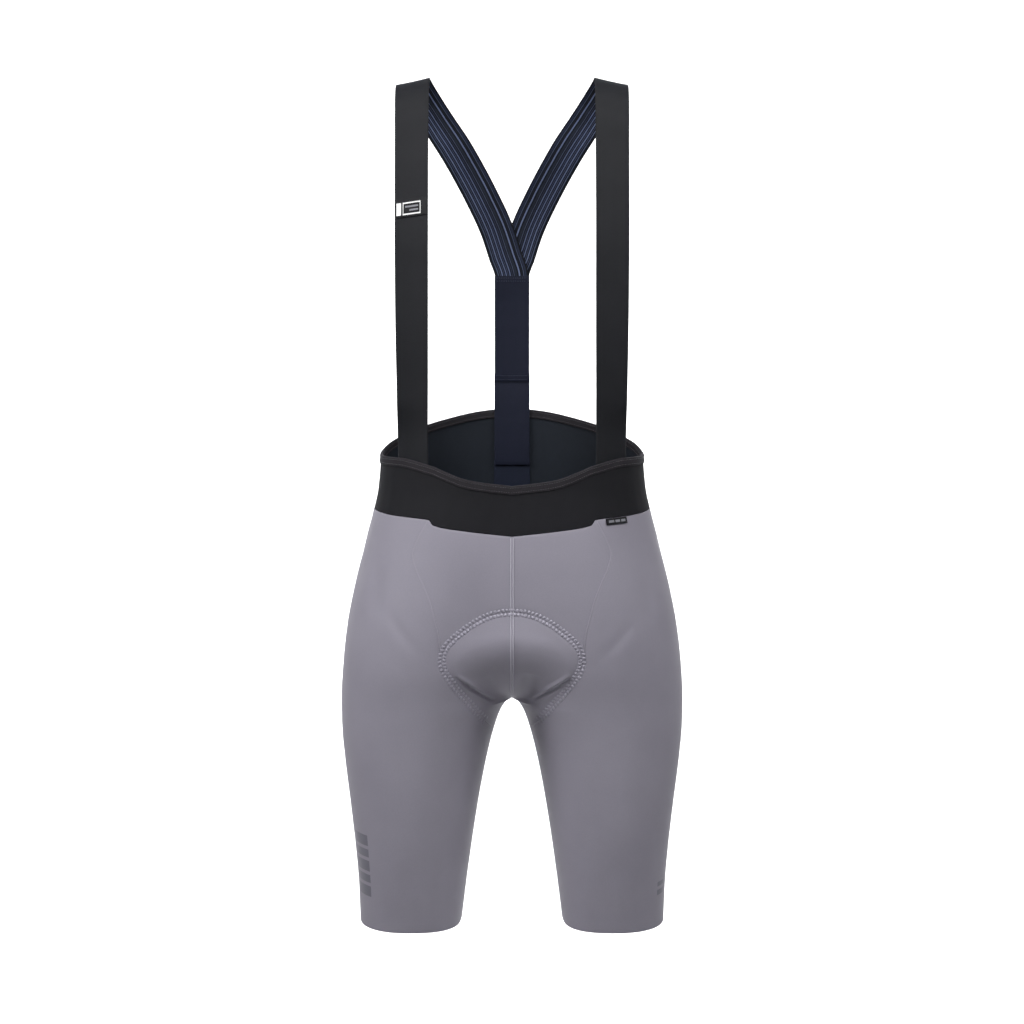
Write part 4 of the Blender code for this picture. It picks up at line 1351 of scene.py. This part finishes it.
legPrint = {
    "lift": 0.00012,
    "thickness": 0.0001,
}
legBars = (
    # side, turn from and to, drop from and to
    (-1, 0.755, 0.915, 0.8150, 0.8270),
    (-1, 0.755, 0.915, 0.8310, 0.8400),
    (-1, 0.755, 0.915, 0.8440, 0.8560),
    (-1, 0.755, 0.915, 0.8600, 0.8690),
    (-1, 0.755, 0.915, 0.8730, 0.8850),
    (1, 0.800, 0.885, 0.8700, 0.8750),
    (1, 0.800, 0.885, 0.8790, 0.8850),
)
for k, (side, first, last, high, low) in enumerate(legBars):
    turns = np.linspace(first, last, 10)
    drops = np.linspace(high, low, 10)
    points, normals = clothPoint(drops[:, None], turns[None, :], side, legPrint["lift"])
    points[..., 0] += side * seamGap / 2
    piece = shell("legPrint_" + str(k + 1), points, normals, legPrint["thickness"], clothUvs(turns, drops),
                  [tonalPrint, tonalPrint], pinch=0.1)
    dress(piece, "leg_cloth")


# Seat pad

# How far round from the centre line the pad reaches on a row
def padTurn(level, facing):
    low, high = 0.0, 1.0
    for _ in range(30):
        middle = (low + high) / 2
        turn = 2 - middle if facing == "back" else middle
        drop = levelDrop(level, turn)
        if halfWidth(drop, turn) > padHalf[facing](drop):
            high = middle
        else:
            low = middle
    return max((low + high) / 2, 0.03)


padHalf = {
    "front": linesOf(("drop", "x"), (
        (0.5655, 0.0080), (0.5705, 0.0270), (0.5855, 0.0505), (0.6030, 0.0680), (0.6145, 0.0720),
        (0.6350, 0.0655), (0.6520, 0.0545), (0.6650, 0.0440), (0.6775, 0.0350), (0.6950, 0.0250),
    ))["x"],
    "back": linesOf(("drop", "x"), (
        (0.5600, 0.0300), (0.5800, 0.0560), (0.6100, 0.0700), (0.6400, 0.0640), (0.6708, 0.0420),
        (0.6950, 0.0250),
    ))["x"],
}
padRows = np.concatenate([np.linspace(0.5, 1, 34), np.linspace(1, 1.2, 12)[1:]])
padShares = np.linspace(0, 1, 21)
# The pad thins to its edge over "reach". The others are the lengths that a share or a level stands for.
padEdge = {
    "thickness": 0.0016,
    "reach": 0.012,
    "across": 0.07,
    "down": 0.16,
    "under": 0.20,
}


# Points and directions of one quarter of the pad, on the dressed cloth
def padQuarter(side, facing):
    grid, normals = [], []
    for level in padRows:
        edge = padTurn(level, facing)
        turns = 2 - edge * padShares if facing == "back" else edge * padShares
        point, normal = clothPoint(levelDrop(level, turns), turns, side, folds=False)
        point[0, 0] = 0.0 if level < 1 else point[0, 0]
        grid.append(point)
        normals.append(normal)
    return np.array(grid), np.array(normals)


verts, faces = [], []
total = 0
for side in (1, -1):
    for facing in ("front", "back"):
        grid, normals = padQuarter(side, facing)
        rows, columns = grid.shape[:2]
        fromSide = padShares[::-1][None, :] * padEdge["across"]
        fromTop = (padRows - padRows[0])[:, None] * padEdge["down"]
        fromEnd = (padRows[-1] - padRows)[:, None] * padEdge["under"]
        fromEnd = np.where(padRows[:, None] > 1, fromEnd, padEdge["reach"])
        inward = np.minimum(np.minimum(fromSide, fromTop), np.minimum(fromEnd, padEdge["reach"]))
        fuller = ease(inward / padEdge["reach"])
        thick = padEdge["thickness"] + (pad["thickness"] - padEdge["thickness"]) * fuller
        top = grid - normals * (panels["thickness"] + pad["inset"])
        foot = grid - normals * (panels["thickness"] + pad["inset"] + thick[..., None])
        index = np.arange(rows * columns).reshape(rows, columns) + total
        turned = (side > 0) == (facing == "front")
        for base, outward in ((0, True), (rows * columns, False)):
            a, b = index[:-1, :-1].ravel() + base, index[:-1, 1:].ravel() + base
            c, d = index[1:, 1:].ravel() + base, index[1:, :-1].ravel() + base
            quads = np.stack([a, d, c, b], 1) if turned == outward else np.stack([a, b, c, d], 1)
            faces += [tuple(q) for q in quads]
        verts += [top.reshape(-1, 3), foot.reshape(-1, 3)]
        total += 2 * rows * columns
padMesh = addMesh("seatPad", np.concatenate(verts), faces, None, None, [padCover], smooth=80)
work = bmesh.new()
work.from_mesh(padMesh.data)
bmesh.ops.remove_doubles(work, verts=work.verts, dist=0.00003)
rims = [edge for edge in work.edges if edge.is_boundary]
bmesh.ops.bridge_loops(work, edges=rims)
bmesh.ops.recalc_face_normals(work, faces=work.faces)
work.to_mesh(padMesh.data)
work.free()
padMesh.data.shade_smooth()
dress(padMesh, "pad", "seat_pad")
print("pad ready")


# Stage, light and camera

stage = {
    "floor": -2.2,
    "back": 3.2,
    "bend": 1.2,
    "half": 16.0,
    "front": -7.0,
    "high": 6.0,
}
paper, tree, shader = newMaterial("palePaper", {"Base Color": linear("#f4f4f5"), "Roughness": 0.9})
profile = [(stage["front"], stage["high"])]
for angle in np.linspace(math.pi / 2, 0, 17):
    profile.append((stage["front"] + stage["bend"] - stage["bend"] * math.sin(angle),
                    stage["floor"] + stage["bend"] * (1 - math.cos(angle))))
for angle in np.linspace(0, math.pi / 2, 17):
    profile.append((stage["back"] - stage["bend"] + stage["bend"] * math.sin(angle),
                    stage["floor"] + stage["bend"] * (1 - math.cos(angle))))
profile.append((stage["back"], stage["high"]))
verts = [(x, y, z) for y, z in profile for x in (-stage["half"], stage["half"])]
faces = [(2 * i, 2 * i + 1, 2 * i + 3, 2 * i + 2) for i in range(len(profile) - 1)]
sweep = addMesh("paperSweep", verts, faces, None, None, [paper], smooth=60)


# The turn that points an object's -Z along a direction, with its top upward
def toward(way):
    return Vector(way).to_track_quat("-Z", "Y").to_euler()


def areaLight(name, place, aim, size, power, spread=math.pi):
    data = bpy.data.lights.new(name, "AREA")
    data.shape = "RECTANGLE"
    data.size, data.size_y = size
    data.energy = power
    data.spread = spread
    lamp = bpy.data.objects.new(name, data)
    bpy.context.scene.collection.objects.link(lamp)
    lamp.location = place
    lamp.rotation_euler = toward(np.array(aim, float) - np.array(place, float))


areaLight("keyUpperLeft", (-1.70, -1.0, 1.1), (-0.05, 0, -0.42), (0.9, 0.9), 12, spread=1.5)
areaLight("fillRight", (1.45, -1.05, 1.3), (0.05, 0, -0.42), (0.9, 0.9), 7.5, spread=1.5)
areaLight("frontHigh", (0.0, -1.9, 1.5), (0, 0, -0.45), (0.9, 0.9), 5.0, spread=1.5)
areaLight("top", (0, -0.2, 1.7), (0, 0, -0.4), (1.6, 1.0), 3)
areaLight("backdropLeft", (-2.4, 1.1, 0.4), (-0.3, 3.2, -0.5), (1.4, 2.0), 48, spread=1.5)
areaLight("backdropRight", (2.4, 1.1, 0.4), (0.3, 3.2, -0.5), (1.4, 2.0), 48, spread=1.5)
areaLight("floorWashLeft", (-2.0, -3.0, 1.8), (-2.5, -6.0, -1.0), (2.0, 2.0), 24, spread=2.2)
areaLight("floorWashRight", (2.0, -3.0, 1.8), (2.5, -6.0, -1.0), (2.0, 2.0), 24, spread=2.2)
world = bpy.data.worlds.new("softRoom")
world.use_nodes = True
world.node_tree.nodes["Background"].inputs["Color"].default_value = linear("#ffffff")
world.node_tree.nodes["Background"].inputs["Strength"].default_value = 0.2
bpy.context.scene.world = world
bpy.context.scene.view_settings.view_transform = "Standard"

view = {
    "aim": (0.0, 0.0, -0.467),
    "away": 2.4,
    "tilt": math.radians(4),
    "lens": 76.7,
}
cameraData = bpy.data.cameras.new("camera")
cameraData.lens = view["lens"]
cameraData.sensor_width = 36
camera = bpy.data.objects.new("camera", cameraData)
bpy.context.scene.collection.objects.link(camera)
aimAt = np.array(view["aim"])
back = np.array((0, -math.cos(view["tilt"]), math.sin(view["tilt"])))
camera.location = aimAt + view["away"] * back
camera.rotation_euler = toward(aimAt - np.array(camera.location))
bpy.context.scene.camera = camera
print("stage ready")
